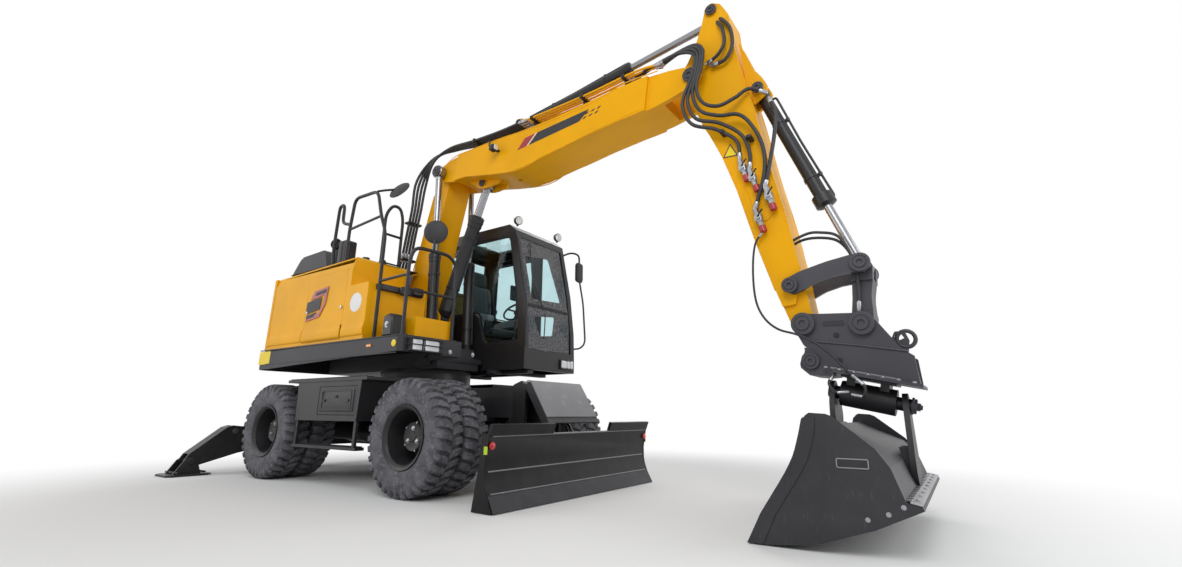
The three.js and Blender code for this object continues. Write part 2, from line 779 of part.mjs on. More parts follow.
function outriggerLeg(side) {
  const flip = (points) => points.map(([y, z, r]) => [side * y, z, r]);
  const [hingeY, hingeZ] = OUTRIGGER_HINGE;
  const [footY, footZ] = OUTRIGGER_FOOT;
  const [eyeY, eyeZ] = OUTRIGGER_CYL_EYE;
  const silhouette = flip([
    [hingeY - 70, hingeZ - 60, 50],
    [hingeY + 40, hingeZ - 110, 40],
    [1000, 250, 60],
    [footY - 30, footZ - 62, 30],
    [footY + 72, footZ - 30, 40],
    [footY + 60, footZ + 60, 40],
    [eyeY + 60, eyeZ + 75, 40],
    [eyeY - 60, eyeZ + 60, 50],
    [hingeY + 60, hingeZ + 110, 60],
    [hingeY - 70, hingeZ + 60, 50],
  ]);
  const x0 = OUTRIGGER_X - legHalf;
  const x1 = OUTRIGGER_X + legHalf;
  const leg = endPlate(silhouette, x0, x1);
  const slot = endPlate(
    flip([
      [hingeY + 40, hingeZ + 20],
      [eyeY + 62, eyeZ - 75],
      [eyeY + 62, eyeZ + 120],
      [hingeY - 100, hingeZ + 300],
    ]),
    OUTRIGGER_X - 48,
    OUTRIGGER_X + 48,
  );
  const mouth = endPlate(
    flip([
      [footY - 110, footZ - 120],
      [footY + 140, footZ - 120],
      [footY + 140, footZ + 82],
      [footY - 40, footZ + 90],
      [footY - 110, footZ + 20],
    ]),
    OUTRIGGER_X - legHalf + 28,
    OUTRIGGER_X + legHalf - 28,
  );
  const hole = alongX([side * hingeY, hingeZ], holeFor(outriggerPin), x0 - 5, x1 + 5);
  const footHole = alongX([side * footY, footZ], holeFor(footPin), x0 - 5, x1 + 5);
  const eye = endPlate(
    flip([
      [1360, 360],
      [1400, 335],
      [1416, 396, 20],
      [1376, 420, 20],
    ]),
    OUTRIGGER_X - 60,
    OUTRIGGER_X - 48,
  );
  return join(cut(leg, slot, mouth, hole, footHole), eye);
}

function outriggerPad(side) {
  const [footY, footZ] = OUTRIGGER_FOOT;
  const plate = plan(
    [
      [OUTRIGGER_X - 200, side * (footY - 220), 50],
      [OUTRIGGER_X + 200, side * (footY - 220), 50],
      [OUTRIGGER_X + 200, side * (footY + 250), 50],
      [OUTRIGGER_X - 200, side * (footY + 250), 50],
    ],
    0,
    24,
  );
  const ears = [-1, 1].map((end) =>
    endPlate(
      [
        [side * (footY - 120), 20],
        [side * (footY + 170), 20],
        [side * (footY + 60), footZ + 40, 30],
        [side * (footY - 50), footZ + 60, 30],
      ],
      OUTRIGGER_X + end * (legHalf + SIDE_PLAY),
      OUTRIGGER_X + end * (legHalf + SIDE_PLAY + 24),
    ),
  );
  const reach = legHalf + SIDE_PLAY + 40;
  const pin = alongX([side * footY, footZ], footPin, OUTRIGGER_X - reach, OUTRIGGER_X + reach);
  return join(plate, ears, pin);
}

function outriggerBarrel(side) {
  const at = (distance) => outriggerPoint(side, distance);
  const [baseY, baseZ] = OUTRIGGER_CYL_BASE;
  const x0 = OUTRIGGER_X - 40;
  const x1 = OUTRIGGER_X + 40;
  const tube = bar(at(50), at(420), 42);
  const foot = alongX([side * baseY, baseZ], 62, x0, x1);
  const bore = bar(at(62), at(430), 30);
  const hole = alongX([side * baseY, baseZ], holeFor(outriggerPin), x0 - 5, x1 + 5);
  return cut(join(tube, foot), bore, hole);
}

// A point on the line from the cylinder's base towards its eye on the leg.
function outriggerPoint(side, distance) {
  const base = new THREE.Vector2(...OUTRIGGER_CYL_BASE);
  const heading = new THREE.Vector2(...OUTRIGGER_CYL_EYE).sub(base).normalize();
  const point = base.addScaledVector(heading, distance);
  return [OUTRIGGER_X, side * point.x, point.y];
}

function outriggerRod(side) {
  const base = new THREE.Vector2(...OUTRIGGER_CYL_BASE);
  const span = base.distanceTo(new THREE.Vector2(...OUTRIGGER_CYL_EYE));
  const shaft = bar(outriggerPoint(side, 400), outriggerPoint(side, span - 30), 26);
  const [eyeY, eyeZ] = OUTRIGGER_CYL_EYE;
  return join(shaft, alongX([side * eyeY, eyeZ], 46, OUTRIGGER_X - 40, OUTRIGGER_X + 40));
}

for (const side of [LEFT, RIGHT]) {
  piece(`outrigger_leg_${sideName(side)}`, outriggerLeg(side), BLACK);
  piece(`outrigger_pad_${sideName(side)}`, outriggerPad(side), BLACK);
  piece(`outrigger_barrel_${sideName(side)}`, outriggerBarrel(side), BLACK);
  piece(`outrigger_rod_${sideName(side)}`, outriggerRod(side), CHROME);
}

// ---------------------------------------------------------------------------------------------
// Upper structure
// ---------------------------------------------------------------------------------------------
const footInner = 205 + SIDE_PLAY; // half distance between the two main plates
const mainPlate = 28;
const footPinRadius = 48;
const liftPinRadius = 38;
const lugInner = [215, 237];
const lugOuter = [323, 345];

function upperFrame() {
  const deckOutline = [
    [HOUSE_REAR, -HOUSE_HALF, 60],
    [DECK_FRONT, -HOUSE_HALF, 40],
    [DECK_FRONT, -470],
    [700, -470],
    [700, CAB_RIGHT - 30],
    [CAB_REAR - 20, CAB_RIGHT - 30],
    [CAB_REAR - 20, HOUSE_HALF],
    [HOUSE_REAR, HOUSE_HALF, 60],
  ];
  const wallOutline = [
    [HOUSE_REAR + 25, -HOUSE_HALF + 25],
    [DECK_FRONT - 25, -HOUSE_HALF + 25],
    [DECK_FRONT - 25, -495],
    [640, -495],
    [640, CAB_RIGHT - 55],
    [CAB_REAR - 45, CAB_RIGHT - 55],
    [CAB_REAR - 45, HOUSE_HALF - 25],
    [HOUSE_REAR + 25, HOUSE_HALF - 25],
  ];
  const slab = plan(deckOutline, 1200, DECK_TOP + 40);
  const sideView = sidePlate(
    [
      [HOUSE_REAR - 10, 1238],
      [DECK_FRONT + 10, 1318],
      [DECK_FRONT + 10, DECK_TOP],
      [HOUSE_REAR - 10, DECK_TOP - 32],
    ],
    -HOUSE_HALF - 10,
    HOUSE_HALF + 10,
  );
  const pan = cut(slab.intersect(sideView), plan(wallOutline, 1190, DECK_TOP - 60));
  const turntable = bar([0, 0, RING_TOP + FIT], [0, 0, CAB_FLOOR - 4], RING_RADIUS + 10, 20);
  const keel = block(-1500, 690, -420, 200, CAB_FLOOR - 14, 1440);
  const cabFloorBeams = [-100, 900].map((x) =>
    block(x - 45, x + 45, 190, HOUSE_HALF - 60, CAB_FLOOR - 40, CAB_FLOOR - 3),
  );
  const cabRail = block(-200, 1330, 380, 480, CAB_FLOOR - 40, CAB_FLOOR - 3);
  const ears = bothSides((side) =>
    sidePlate(
      [
        [-420, 1400],
        [-300, 1640, 60],
        [-30, 1880, 120],
        [200, 1860, 120],
        [300, 1500, 60],
        [420, 1436, 30],
        [570, 1430, 30],
        [600, 1290, 50],
        [520, 1262],
        [-420, 1262],
      ],
      BOOM_Y + side * footInner,
      BOOM_Y + side * (footInner + mainPlate),
    ),
  );
  const outerLugs = bothSides((side) =>
    sidePlate(
      [
        [330, 1290],
        [370, 1400, 40],
        [430, 1442, 40],
        [550, 1442, 40],
        [600, 1330, 40],
        [560, 1262],
        [330, 1262],
      ],
      BOOM_Y + side * lugOuter[0],
      BOOM_Y + side * lugOuter[1],
    ),
  );
  const lugFloor = block(330, 600, BOOM_Y - lugOuter[1], BOOM_Y + lugOuter[1], 1262, 1300);
  const pinReach = footInner + mainPlate + 24;
  const footPinBody = across(BOOM_FOOT, footPinRadius, BOOM_Y - pinReach, BOOM_Y + pinReach);
  const footHeads = bothSides((side) =>
    across(BOOM_FOOT, 74, BOOM_Y + side * (footInner + mainPlate - 2), BOOM_Y + side * pinReach),
  );
  const liftPins = bothSides((side) =>
    across(
      LIFT_BASE,
      liftPinRadius,
      BOOM_Y + side * (lugInner[0] - 5),
      BOOM_Y + side * (lugOuter[1] + 18),
    ),
  );
  const slots = bothSides((side) =>
    sidePlate(
      [
        [395, 1300],
        [590, 1300],
        [700, 1480],
        [900, 1700],
        [395, 1700],
      ],
      BOOM_Y + side * (footInner + mainPlate + 2),
      BOOM_Y + side * (lugOuter[0] - 2),
    ),
  );
  const leanRoom = bothSides((side) =>
    sidePlate(
      [
        [470, 1454],
        [560, 1400],
        [720, 1350],
        [720, 1700],
        [470, 1700],
      ],
      BOOM_Y + side * 200,
      BOOM_Y + side * 352,
    ),
  );
  const deck = join(pan, turntable, keel, cabFloorBeams, cabRail, lugFloor);
  const base = cut(deck, slots, leanRoom);
  const clearFoot = across(BOOM_FOOT, 190, BOOM_Y - footInner, BOOM_Y + footInner, 24);
  const mid = cut(base, clearFoot);
  return join(mid, ears, outerLugs, footPinBody, footHeads, liftPins);
}

// The right and rear bodywork round the engine, open where the two service doors and hood sit.
const DOOR_PLATE = 30;
const doorLow = DECK_TOP + 30;
const doorHigh = 2290;
const doorGap = 4;
const rightDoor = [SPLIT_REAR + doorGap, 40];
const leftDoor = [-1380, -420];
const hoodRear = -1560;
const hoodFront = -720;
const hoodHalf = 1070;

function engineHousing() {
  const profile = [
    [HOUSE_REAR + 130, DECK_TOP + FIT],
    [BODY_FRONT, DECK_TOP + FIT],
    [BODY_FRONT, BODY_TOP, 40],
    [HOUSE_REAR + 130, BODY_TOP - 60],
  ];
  const innerProfile = [
    [HOUSE_REAR + 100, DECK_TOP - 10],
    [BODY_FRONT - BODY_WALL, DECK_TOP - 10],
    [BODY_FRONT - BODY_WALL, BODY_TOP - BODY_WALL],
    [HOUSE_REAR + 100, BODY_TOP - 60 - BODY_WALL],
  ];
  const half = HOUSE_HALF - 22;
  const section = [
    [-half, DECK_TOP],
    [-half, 2330, 60],
    [-half + 90, BODY_TOP + 40],
    [half - 90, BODY_TOP + 40],
    [half, 2330, 60],
    [half, DECK_TOP],
  ];
  const outer = sidePlate(profile, -half, half).intersect(endPlate(section, -1800, 700));
  const shell = cut(outer, sidePlate(innerProfile, -half + BODY_WALL, half - BODY_WALL));
  const cabBay = block(CAB_REAR - 40, 800, CAB_RIGHT - 60, 1300, DECK_TOP - 20, 2600);
  const boomBay = block(-640, 800, -480, CAB_RIGHT - 55, DECK_TOP - 20, 2600);
  const bayWalls = join(
    block(-665, -640, -500, CAB_RIGHT - 40, DECK_TOP + FIT, 2380),
    block(-665, BODY_FRONT - 5, -505, -481, DECK_TOP + FIT, BODY_TOP - 40),
    block(-665, CAB_REAR - 42, CAB_RIGHT - 64, CAB_RIGHT - 40, DECK_TOP + FIT, 2380),
    block(CAB_REAR - 66, CAB_REAR - 42, CAB_RIGHT - 62, half - 10, DECK_TOP + FIT, 2380),
  );
  const frontBlock = cut(
    block(BODY_FRONT - 20, 460, -half, -480, DECK_TOP + FIT, 2090),
    block(BODY_FRONT - 30, 460 - BODY_WALL, -half + BODY_WALL, -505, DECK_TOP - 10, 2065),
  );
  const topHole = block(hoodRear + 20, hoodFront - 20, -hoodHalf + 20, hoodHalf - 20, 2300, 2500);
  const openings = [
    block(rightDoor[0] - doorGap, rightDoor[1] + doorGap, -1400, -1180, doorLow - doorGap,
      doorHigh + doorGap),
    block(leftDoor[0] - doorGap, leftDoor[1] + doorGap, 1180, 1400, doorLow - doorGap,
      doorHigh + doorGap),
  ];
  const walls = cut(shell, cabBay, boomBay, topHole);
  return cut(join(walls, bayWalls, frontBlock), openings);
}

function serviceDoor(side, [x0, x1]) {
  const outer = side * (HOUSE_HALF - 22);
  const inner = side * (HOUSE_HALF - 22 - DOOR_PLATE);
  const skin = block(x0, x1, inner, outer, doorLow, doorHigh);
  const pocket = block(x0 + 30, x1 - 30, inner - side * 5, outer - side * 12, doorLow + 30,
    doorHigh - 30);
  const handle = block(x0 + 60, x0 + 170, outer - side * 13, outer + side * 8, 1900, 1940);
  return join(cut(skin, pocket), handle);
}

function engineHood() {
  const low = BODY_TOP - 30;
  const high = 2725;
  const outer = sidePlate(
    [
      [hoodRear, low - 18],
      [hoodFront, low + 34],
      [hoodFront, low + 60],
      [hoodFront - 160, high, 40],
      [hoodRear + 130, high - 20, 40],
      [hoodRear, low + 20],
    ],
    -hoodHalf,
    hoodHalf,
  );
  const section = endPlate(
    [
      [-hoodHalf, 2300],
      [hoodHalf, 2300],
      [hoodHalf, low + 60, 40],
      [hoodHalf - 45, high + 10],
      [-hoodHalf + 45, high + 10],
      [-hoodHalf, low + 60, 40],
    ],
    hoodRear - 10,
    hoodFront + 10,
  );
  const inner = sidePlate(
    [
      [hoodRear + 30, low - 40],
      [hoodFront - 30, low - 20],
      [hoodFront - 30, low + 40],
      [hoodFront - 185, high - 30],
      [hoodRear + 150, high - 50],
      [hoodRear + 30, low + 10],
    ],
    -hoodHalf + 75,
    hoodHalf - 75,
  );
  const bodyTop = sidePlate(
    [
      [HOUSE_REAR - 50, 2200],
      [BODY_FRONT, 2200],
      [BODY_FRONT, BODY_TOP + 3],
      [HOUSE_REAR + 130, BODY_TOP - 57],
      [HOUSE_REAR - 50, BODY_TOP - 67],
    ],
    -1300,
    1300,
  );
  return cut(outer.intersect(section), inner, bodyTop);
}

function counterweight() {
  const rearOutline = [
    [HOUSE_REAR + 122, -HOUSE_HALF + 20],
    [HOUSE_REAR + 122, HOUSE_HALF - 20],
    [HOUSE_REAR + 40, HOUSE_HALF - 20, 40],
    [HOUSE_REAR - 40, 1000, 160],
    [HOUSE_REAR - 60, 0, 300],
    [HOUSE_REAR - 40, -1000, 160],
    [HOUSE_REAR + 40, -HOUSE_HALF + 20, 40],
  ];
  const body = plan(rearOutline, 1246, 2380);
  const profile = sidePlate(
    [
      [HOUSE_REAR + 122, DECK_TOP + FIT],
      [HOUSE_REAR + 122, 2378],
      [HOUSE_REAR + 60, 2372, 30],
      [HOUSE_REAR - 30, 2180, 60],
      [HOUSE_REAR - 60, 1700],
      [HOUSE_REAR - 10, 1246],
      [HOUSE_REAR - 2, 1246],
      [HOUSE_REAR - 2, DECK_TOP - 31],
      [HOUSE_REAR + 60, DECK_TOP + FIT],
    ],
    -HOUSE_HALF,
    HOUSE_HALF,
  );
  return body.intersect(profile);
}

function handrails() {
  const r = 19;
  const y = -1150;
  const front = 1050;
  const deck = DECK_TOP + 1;
  const top = BODY_TOP + 1;
  const tall = bentTube(
    [
      [540, y, deck], [540, y, 2650], [425, y, 2870], [312, y, 3190], [-130, y, 3200],
      [-178, y, 2800], [-169, y, top + 3],
    ],
    r,
  );
  const tallBar = bentTube([[-178, y, 2817], [425, y, 2865]], r * 0.8);
  const rear = bentTube(
    [
      [-450, y + 4, top - 6], [-470, y, 2640], [-450, y, 3170], [-350, y, 3170],
      [-345, y, 2930], [-172, y, 2880],
    ],
    r,
  );
  const inner = bentTube(
    [
      [100, -880, top], [100, -880, 3040], [100, -800, 3180], [100, -690, 3180], [100, -640, 3040],
      [100, -640, top],
    ],
    r,
  );
  const innerBar = bentTube([[100, -880, 2800], [100, -640, 2800]], r * 0.8);
  const loop = bentTube(
    [
      [front, -1178, deck], [front, -1178, 2250], [front, -1120, 2400], [front, -680, 2420],
      [front, -560, 2330], [front, -560, deck],
    ],
    r,
  );
  const loopBar = bentTube([[front, -1178, 1950], [front, -560, 1950]], r * 0.8);
  const link = bentTube([[540, y, 2100], [front, -1178, 2100]], r * 0.8);
  const base = block(80, 120, -900, -620, top - 2 + 3, top + 12);
  const tie = bentTube([[-169, y, 2520], [100, -880, 2520]], r * 0.7);
  const mirrors = [
    bentTube([[230, y, 3190], [385, y - 20, 3290]], r * 0.7),
    bar([370, y - 20, 3290], [396, y - 32, 3300], 130, SIDES),
    bentTube([[front, -860, 2410], [front, -860, 2600]], r * 0.8),
    bar([front + 22, -860, 2560], [front - 4, -860, 2560], 130, SIDES),
  ];
  return join(tall, tallBar, rear, inner, innerBar, base, tie, loop, loopBar, link, mirrors);
}

piece("upper_frame", upperFrame(), GREY);
piece("counterweight", counterweight(), YELLOW);
piece("engine_housing", engineHousing(), YELLOW);
piece("engine_block", block(-1350, -700, -520, 520, DECK_TOP + 20, 2150), GREY);
piece("engine_hood", engineHood(), BLACK);
piece("service_door_right", serviceDoor(RIGHT, rightDoor), YELLOW);
piece("service_door_left", serviceDoor(LEFT, leftDoor), YELLOW);
piece("front_toolbox", block(700, 1020, -1010, -530, DECK_TOP + FIT, 1695), YELLOW);
piece("handrails", handrails(), BLACK);

// ---------------------------------------------------------------------------------------------
// Cab
// ---------------------------------------------------------------------------------------------
const leanTop = 1120; // where the windscreen meets the roof
const WINDOW_TOP = CAB_ROOF - 145;
const DOOR_TOP = CAB_ROOF - 115;
const CAB_HEIGHT = CAB_ROOF - CAB_SILL;
const doorSpan = [-190, 700];
const cabLeft = HOUSE_HALF;

function cabShell() {
  const side = [
    [CAB_REAR, CAB_FLOOR],
    [CAB_FRONT, CAB_FLOOR],
    [CAB_FRONT, CAB_SILL],
    [CAB_FRONT - 20, 2000, 300],
    [leanTop, CAB_ROOF, 90],
    [CAB_REAR + 20, CAB_ROOF, 100],
    [CAB_REAR - 10, 2300],
  ];
  const inner = [
    [CAB_REAR + CAB_WALL, CAB_SILL - 40],
    [CAB_FRONT - CAB_WALL, CAB_SILL - 40],
    [CAB_FRONT - CAB_WALL - 20, 2000, 300],
    [leanTop - CAB_WALL, CAB_ROOF - CAB_WALL, 60],
    [CAB_REAR + CAB_WALL + 20, CAB_ROOF - CAB_WALL, 60],
    [CAB_REAR + CAB_WALL - 8, 2300],
  ];
  const shell = cut(
    sidePlate(side, CAB_RIGHT, cabLeft),
    sidePlate(inner, CAB_RIGHT + CAB_WALL, cabLeft - CAB_WALL),
  );
  const baseRoom = block(CAB_REAR + 60, CAB_FRONT - 60, CAB_RIGHT + 50, cabLeft - 50, CAB_FLOOR - 5,
    CAB_SILL - 70);
  const windscreen = block(900, 1500, CAB_RIGHT + 75, cabLeft - 75, CAB_SILL + 50, CAB_ROOF - 175);
  const rearWindow = block(
    CAB_REAR - 60, CAB_REAR + 100,
    CAB_RIGHT + 110, cabLeft - 110,
    2080, CAB_ROOF - 175,
  );
  const roofHatch = block(50, 800, CAB_RIGHT + 160, cabLeft - 160, CAB_ROOF - 100, CAB_ROOF + 20);
  const rightWindow = sidePlate(
    [
      [CAB_REAR + 110, 1960, 60],
      [560, 1960, 60],
      [690, 1560, 60],
      [CAB_FRONT - 110, 1560, 60],
      [CAB_FRONT - 130, 2020, 200],
      [leanTop - 60, WINDOW_TOP, 80],
      [CAB_REAR + 130, WINDOW_TOP, 80],
    ],
    CAB_RIGHT - 10,
    CAB_RIGHT + CAB_WALL + 10,
  );
  const doorway = sidePlate(doorOutline(0), cabLeft - CAB_WALL - 10, cabLeft + 10);
  const quarter = sidePlate(
    [
      [doorSpan[1] + 70, 1560, 50],
      [CAB_FRONT - 110, 1560, 50],
      [CAB_FRONT - 130, 2020, 150],
      [leanTop - 60, WINDOW_TOP, 60],
      [doorSpan[1] + 70, WINDOW_TOP, 60],
    ],
    cabLeft - CAB_WALL - 10,
    cabLeft + 10,
  );
  return cut(shell, baseRoom, windscreen, rearWindow, roofHatch, rightWindow, doorway, quarter);
}

// The cab door's edge, drawn in by a gap.
function doorOutline(gap) {
  return [
    [doorSpan[0] + gap, CAB_SILL + 20 + gap, 40],
    [doorSpan[1] - gap, CAB_SILL + 20 + gap, 40],
    [doorSpan[1] - gap, DOOR_TOP - gap, 60],
    [doorSpan[0] + 20 + gap, DOOR_TOP - gap, 60],
  ];
}

function cabDoor() {
  const y0 = cabLeft - 34;
  const y1 = cabLeft + 4;
  const leaf = sidePlate(doorOutline(5), y0, y1);
  const window = sidePlate(
    [
      [doorSpan[0] + 80, 2080, 50],
      [doorSpan[1] - 75, 1900, 50],
      [doorSpan[1] - 75, DOOR_TOP - 70, 60],
      [doorSpan[0] + 95, DOOR_TOP - 70, 60],
    ],
    y0 - 10,
    y1 + 10,
  );
  const lowWindow = sidePlate(
    [
      [doorSpan[0] + 330, 1540, 40],
      [doorSpan[1] - 75, 1540, 40],
      [doorSpan[1] - 75, 1830, 40],
      [doorSpan[0] + 330, 1920, 40],
    ],
    y0 - 10,
    y1 + 10,
  );
  const handle = block(doorSpan[0] + 90, doorSpan[0] + 230, y1 - 3, y1 + 22, 1990, 2020);
  return join(cut(leaf, window, lowWindow), handle);
}

function operatorSeat() {
  const y0 = 520;
  const y1 = 1000;
  const x = 120;
  const backTop = CAB_SILL + CAB_HEIGHT * 0.638;
  const restTop = CAB_SILL + CAB_HEIGHT * 0.76;
  const pedestal = block(x, x + 330, 600, 920, CAB_SILL - 38, 1700);
  const cushion = sidePlate(
    [
      [x - 70, 1690, 30],
      [x + 430, 1690, 60],
      [x + 450, 1830, 70],
      [x - 60, 1800, 40],
    ],
    y0,
    y1,
  );
  const back = sidePlate(
    [
      [x - 110, 1780, 40],
      [x + 40, 1780, 40],
      [x - 40, backTop, 60],
      [x - 150, backTop, 50],
    ],
    y0 + 20,
    y1 - 20,
  );
  const headrest = sidePlate(
    [
      [x - 150, backTop - 20, 20],
      [x - 60, backTop - 20, 20],
      [x - 75, restTop, 40],
      [x - 150, restTop, 40],
    ],
    y0 + 110,
    y1 - 110,
  );
  const consoles = [
    [400, 505],
    [1015, 1120],
  ].map(([a, b]) =>
    sidePlate(
      [
        [x, 1690, 30],
        [x + 420, 1690, 40],
        [x + 520, 1960, 50],
        [x + 300, 2010, 60],
        [x - 40, 1960, 40],
      ],
      a,
      b,
    ),
  );
  const bridge = block(x + 40, x + 360, 400, 1120, 1700, 1740);
  const sticks = [452, 1067].map((y) =>
    bar([x + 440, y, 1950], [x + 460, y, 2120], 22, 8),
  );
  return join(pedestal, cushion, back, headrest, consoles, bridge, sticks);
}

piece("cab_shell", cabShell(), BLACK);
piece("cab_door", cabDoor(), BLACK);
piece("operator_seat", operatorSeat(), FABRIC);

// ---------------------------------------------------------------------------------------------
// Arm
// ---------------------------------------------------------------------------------------------
const jointPin = 46;
const smallPin = 34;
const cheekJ = [LOWER_HALF + SIDE_PLAY + 3, 222]; // the upper boom's cheeks at the boom joint

const armPlate = (points, half) => sidePlate(points, BOOM_Y - half, BOOM_Y + half);
const cheeks = (points, inner, outer) =>
  bothSides((side) => sidePlate(points, BOOM_Y + side * inner, BOOM_Y + side * outer));
const armPin = (at, radius, half) => across(at, radius, BOOM_Y - half, BOOM_Y + half);
const armHoles = (at, pinRadius, half) => armPin(at, holeFor(pinRadius), half);
const heads = (at, radius, inner, outer) =>
  bothSides((side) => across(at, radius, BOOM_Y + side * inner, BOOM_Y + side * outer));

function lowerBoom() {
  const boxPoints = [
    [-70, 1700, 60],
    [-133, 1942, 80],
    [-114, 2434, 150],
    [15, 2842, 200],
    [190, 3467, 120],
    [300, 3760, 60],
    [470, 3760, 60],
    [478, 3600, 60],
    [420, 3350, 150],
    [290, 2850, 200],
    [215, 2434, 150],
    [215, 1942, 80],
    [200, 1700, 60],
  ];
  const box = armPlate(boxPoints, LOWER_HALF);
  const inside = armPlate(
    [
      [-50, 1900],
      [-92, 1980],
      [-80, 2420, 100],
      [50, 2840, 150],
      [225, 3440],
      [390, 3440],
      [258, 2850, 150],
      [180, 2440, 100],
      [180, 1980],
      [140, 1900],
    ],
    LOWER_HALF - 22,
  );
  const drain = armPlate([[20, 2100], [90, 2100], [90, 2220], [20, 2220]], LOWER_HALF + 10);
  const foot = armPin(BOOM_FOOT, 115, 205);
  const lugs = cheeks(strap([180, 1990], 90, ADJUST_BASE, 70), 84, 112);
  const heelClear = armPin(ADJUST_BASE, 92, 80);
  const adjustPin = armPin(ADJUST_BASE, smallPin, 130);
  const bore = armHoles(BOOM_FOOT, footPinRadius, 230);
  const shell = cut(join(box, foot), inside, drain, bore);
  const jointPins = armPin(BOOM_JOINT, jointPin, 228);
  return join(cut(join(shell, lugs), heelClear), adjustPin, jointPins);
}

function upperBoom() {
  const top = [
    [345, 3800, 30],
    [430, 3842, 60],
    [640, 3880, 60],
    [900, 3890],
    [2068, 3884, 200],
    [2700, 3925, 200],
    [3130, 3968, 150],
    [3480, 3972, 120],
    [3780, 3925, 60],
    [3915, 3880, 60],
    [3930, 3760, 60],
    [3831, 3706, 40],
  ];
  const bottom = [
    [3533, 3625, 100],
    [3311, 3600, 100],
    [2883, 3572, 200],
    [2363, 3500, 200],
    [2054, 3462, 200],
    [1667, 3400, 200],
    [1400, 3430, 150],
    [800, 3552, 80],
    [640, 3545, 40],
    [480, 3570],
    [400, 3590, 30],
  ];
  const box = armPlate([...top, ...bottom], UPPER_HALF);
  const inside = armPlate(
    [
      [900, 3850],
      [2068, 3846, 150],
      [2700, 3885, 150],
      [3130, 3930],
      [3300, 3930],
      [3300, 3640],
      [2883, 3612, 150],
      [2054, 3505, 150],
      [1667, 3442, 100],
      [1400, 3470, 100],
      [900, 3570],
    ],
    UPPER_HALF - 18,
  );
  const drain = sidePlate([[1500, 3380], [1560, 3380], [1560, 3480], [1500, 3480]], BOOM_Y - 30,
    BOOM_Y + 30);
  const jointMouth = armPlate(
    [
      [200, 3400],
      [640, 3400],
      [640, 3760, 80],
      [560, 3860, 60],
      [420, 3870, 40],
      [200, 3870],
    ],
    cheekJ[0],
  );
  const trim = bothSides((side) =>
    sidePlate([[200, 3400], [610, 3400], [700, 4000], [200, 4000]], BOOM_Y + side * cheekJ[1],
      BOOM_Y + side * 300),
  );
  const stickMouth = armPlate(
    [
      [3560, 3400],
      [4100, 3400],
      [4100, 4200],
      [3380, 4200],
      [3380, 3880],
      [3500, 3800],
    ],
    STICK_HALF + SIDE_PLAY + 3,
  );
  const noseTrim = bothSides((side) =>
    sidePlate([[3300, 3300], [4100, 3300], [4100, 4200], [3420, 4200]], BOOM_Y + side * 222,
      BOOM_Y + side * 300),
  );
  const holes = [
    armHoles(BOOM_JOINT, jointPin, 300),
  ];
  const adjustLugs = cheeks(
    [
      [700, 3600],
      [720, 3570],
      [930, 3425, 30],
      [1060, 3400, 40],
      [1240, 3420],
      [1300, 3500],
      [1200, 3600],
    ],
    62,
    92,
  );
  const rodClear = sidePlate(
    [
      [800, 3300],
      [1160, 3300],
      [1160, 3600],
      [1080, 3650],
      [880, 3650],
      [800, 3600],
    ],
    BOOM_Y - 60,
    BOOM_Y + 60,
  );
  const adjustHeads = heads(ADJUST_EYE, 46, 90, 108);
  const stickLugs = cheeks(
    [
      [1380, 3870],
      [1470, 4160, 60],
      [1560, 4200, 60],
      [1640, 4150, 50],
      [1790, 3870],
    ],
    62,
    90,
  );
  const stickCylPin = armPin(STICK_CYL_BASE, smallPin, 104);
  const pivot = armPin(STICK_PIVOT, jointPin, 236);
  const pivotHeads = heads(STICK_PIVOT, 66, 220, 240);
  const body = cut(box, inside, drain, jointMouth, trim, stickMouth, noseTrim);
  const withLugs = cut(join(body, adjustLugs, stickLugs), holes, rodClear);
  return join(withLugs, adjustHeads, stickCylPin, pivot, pivotHeads);
}

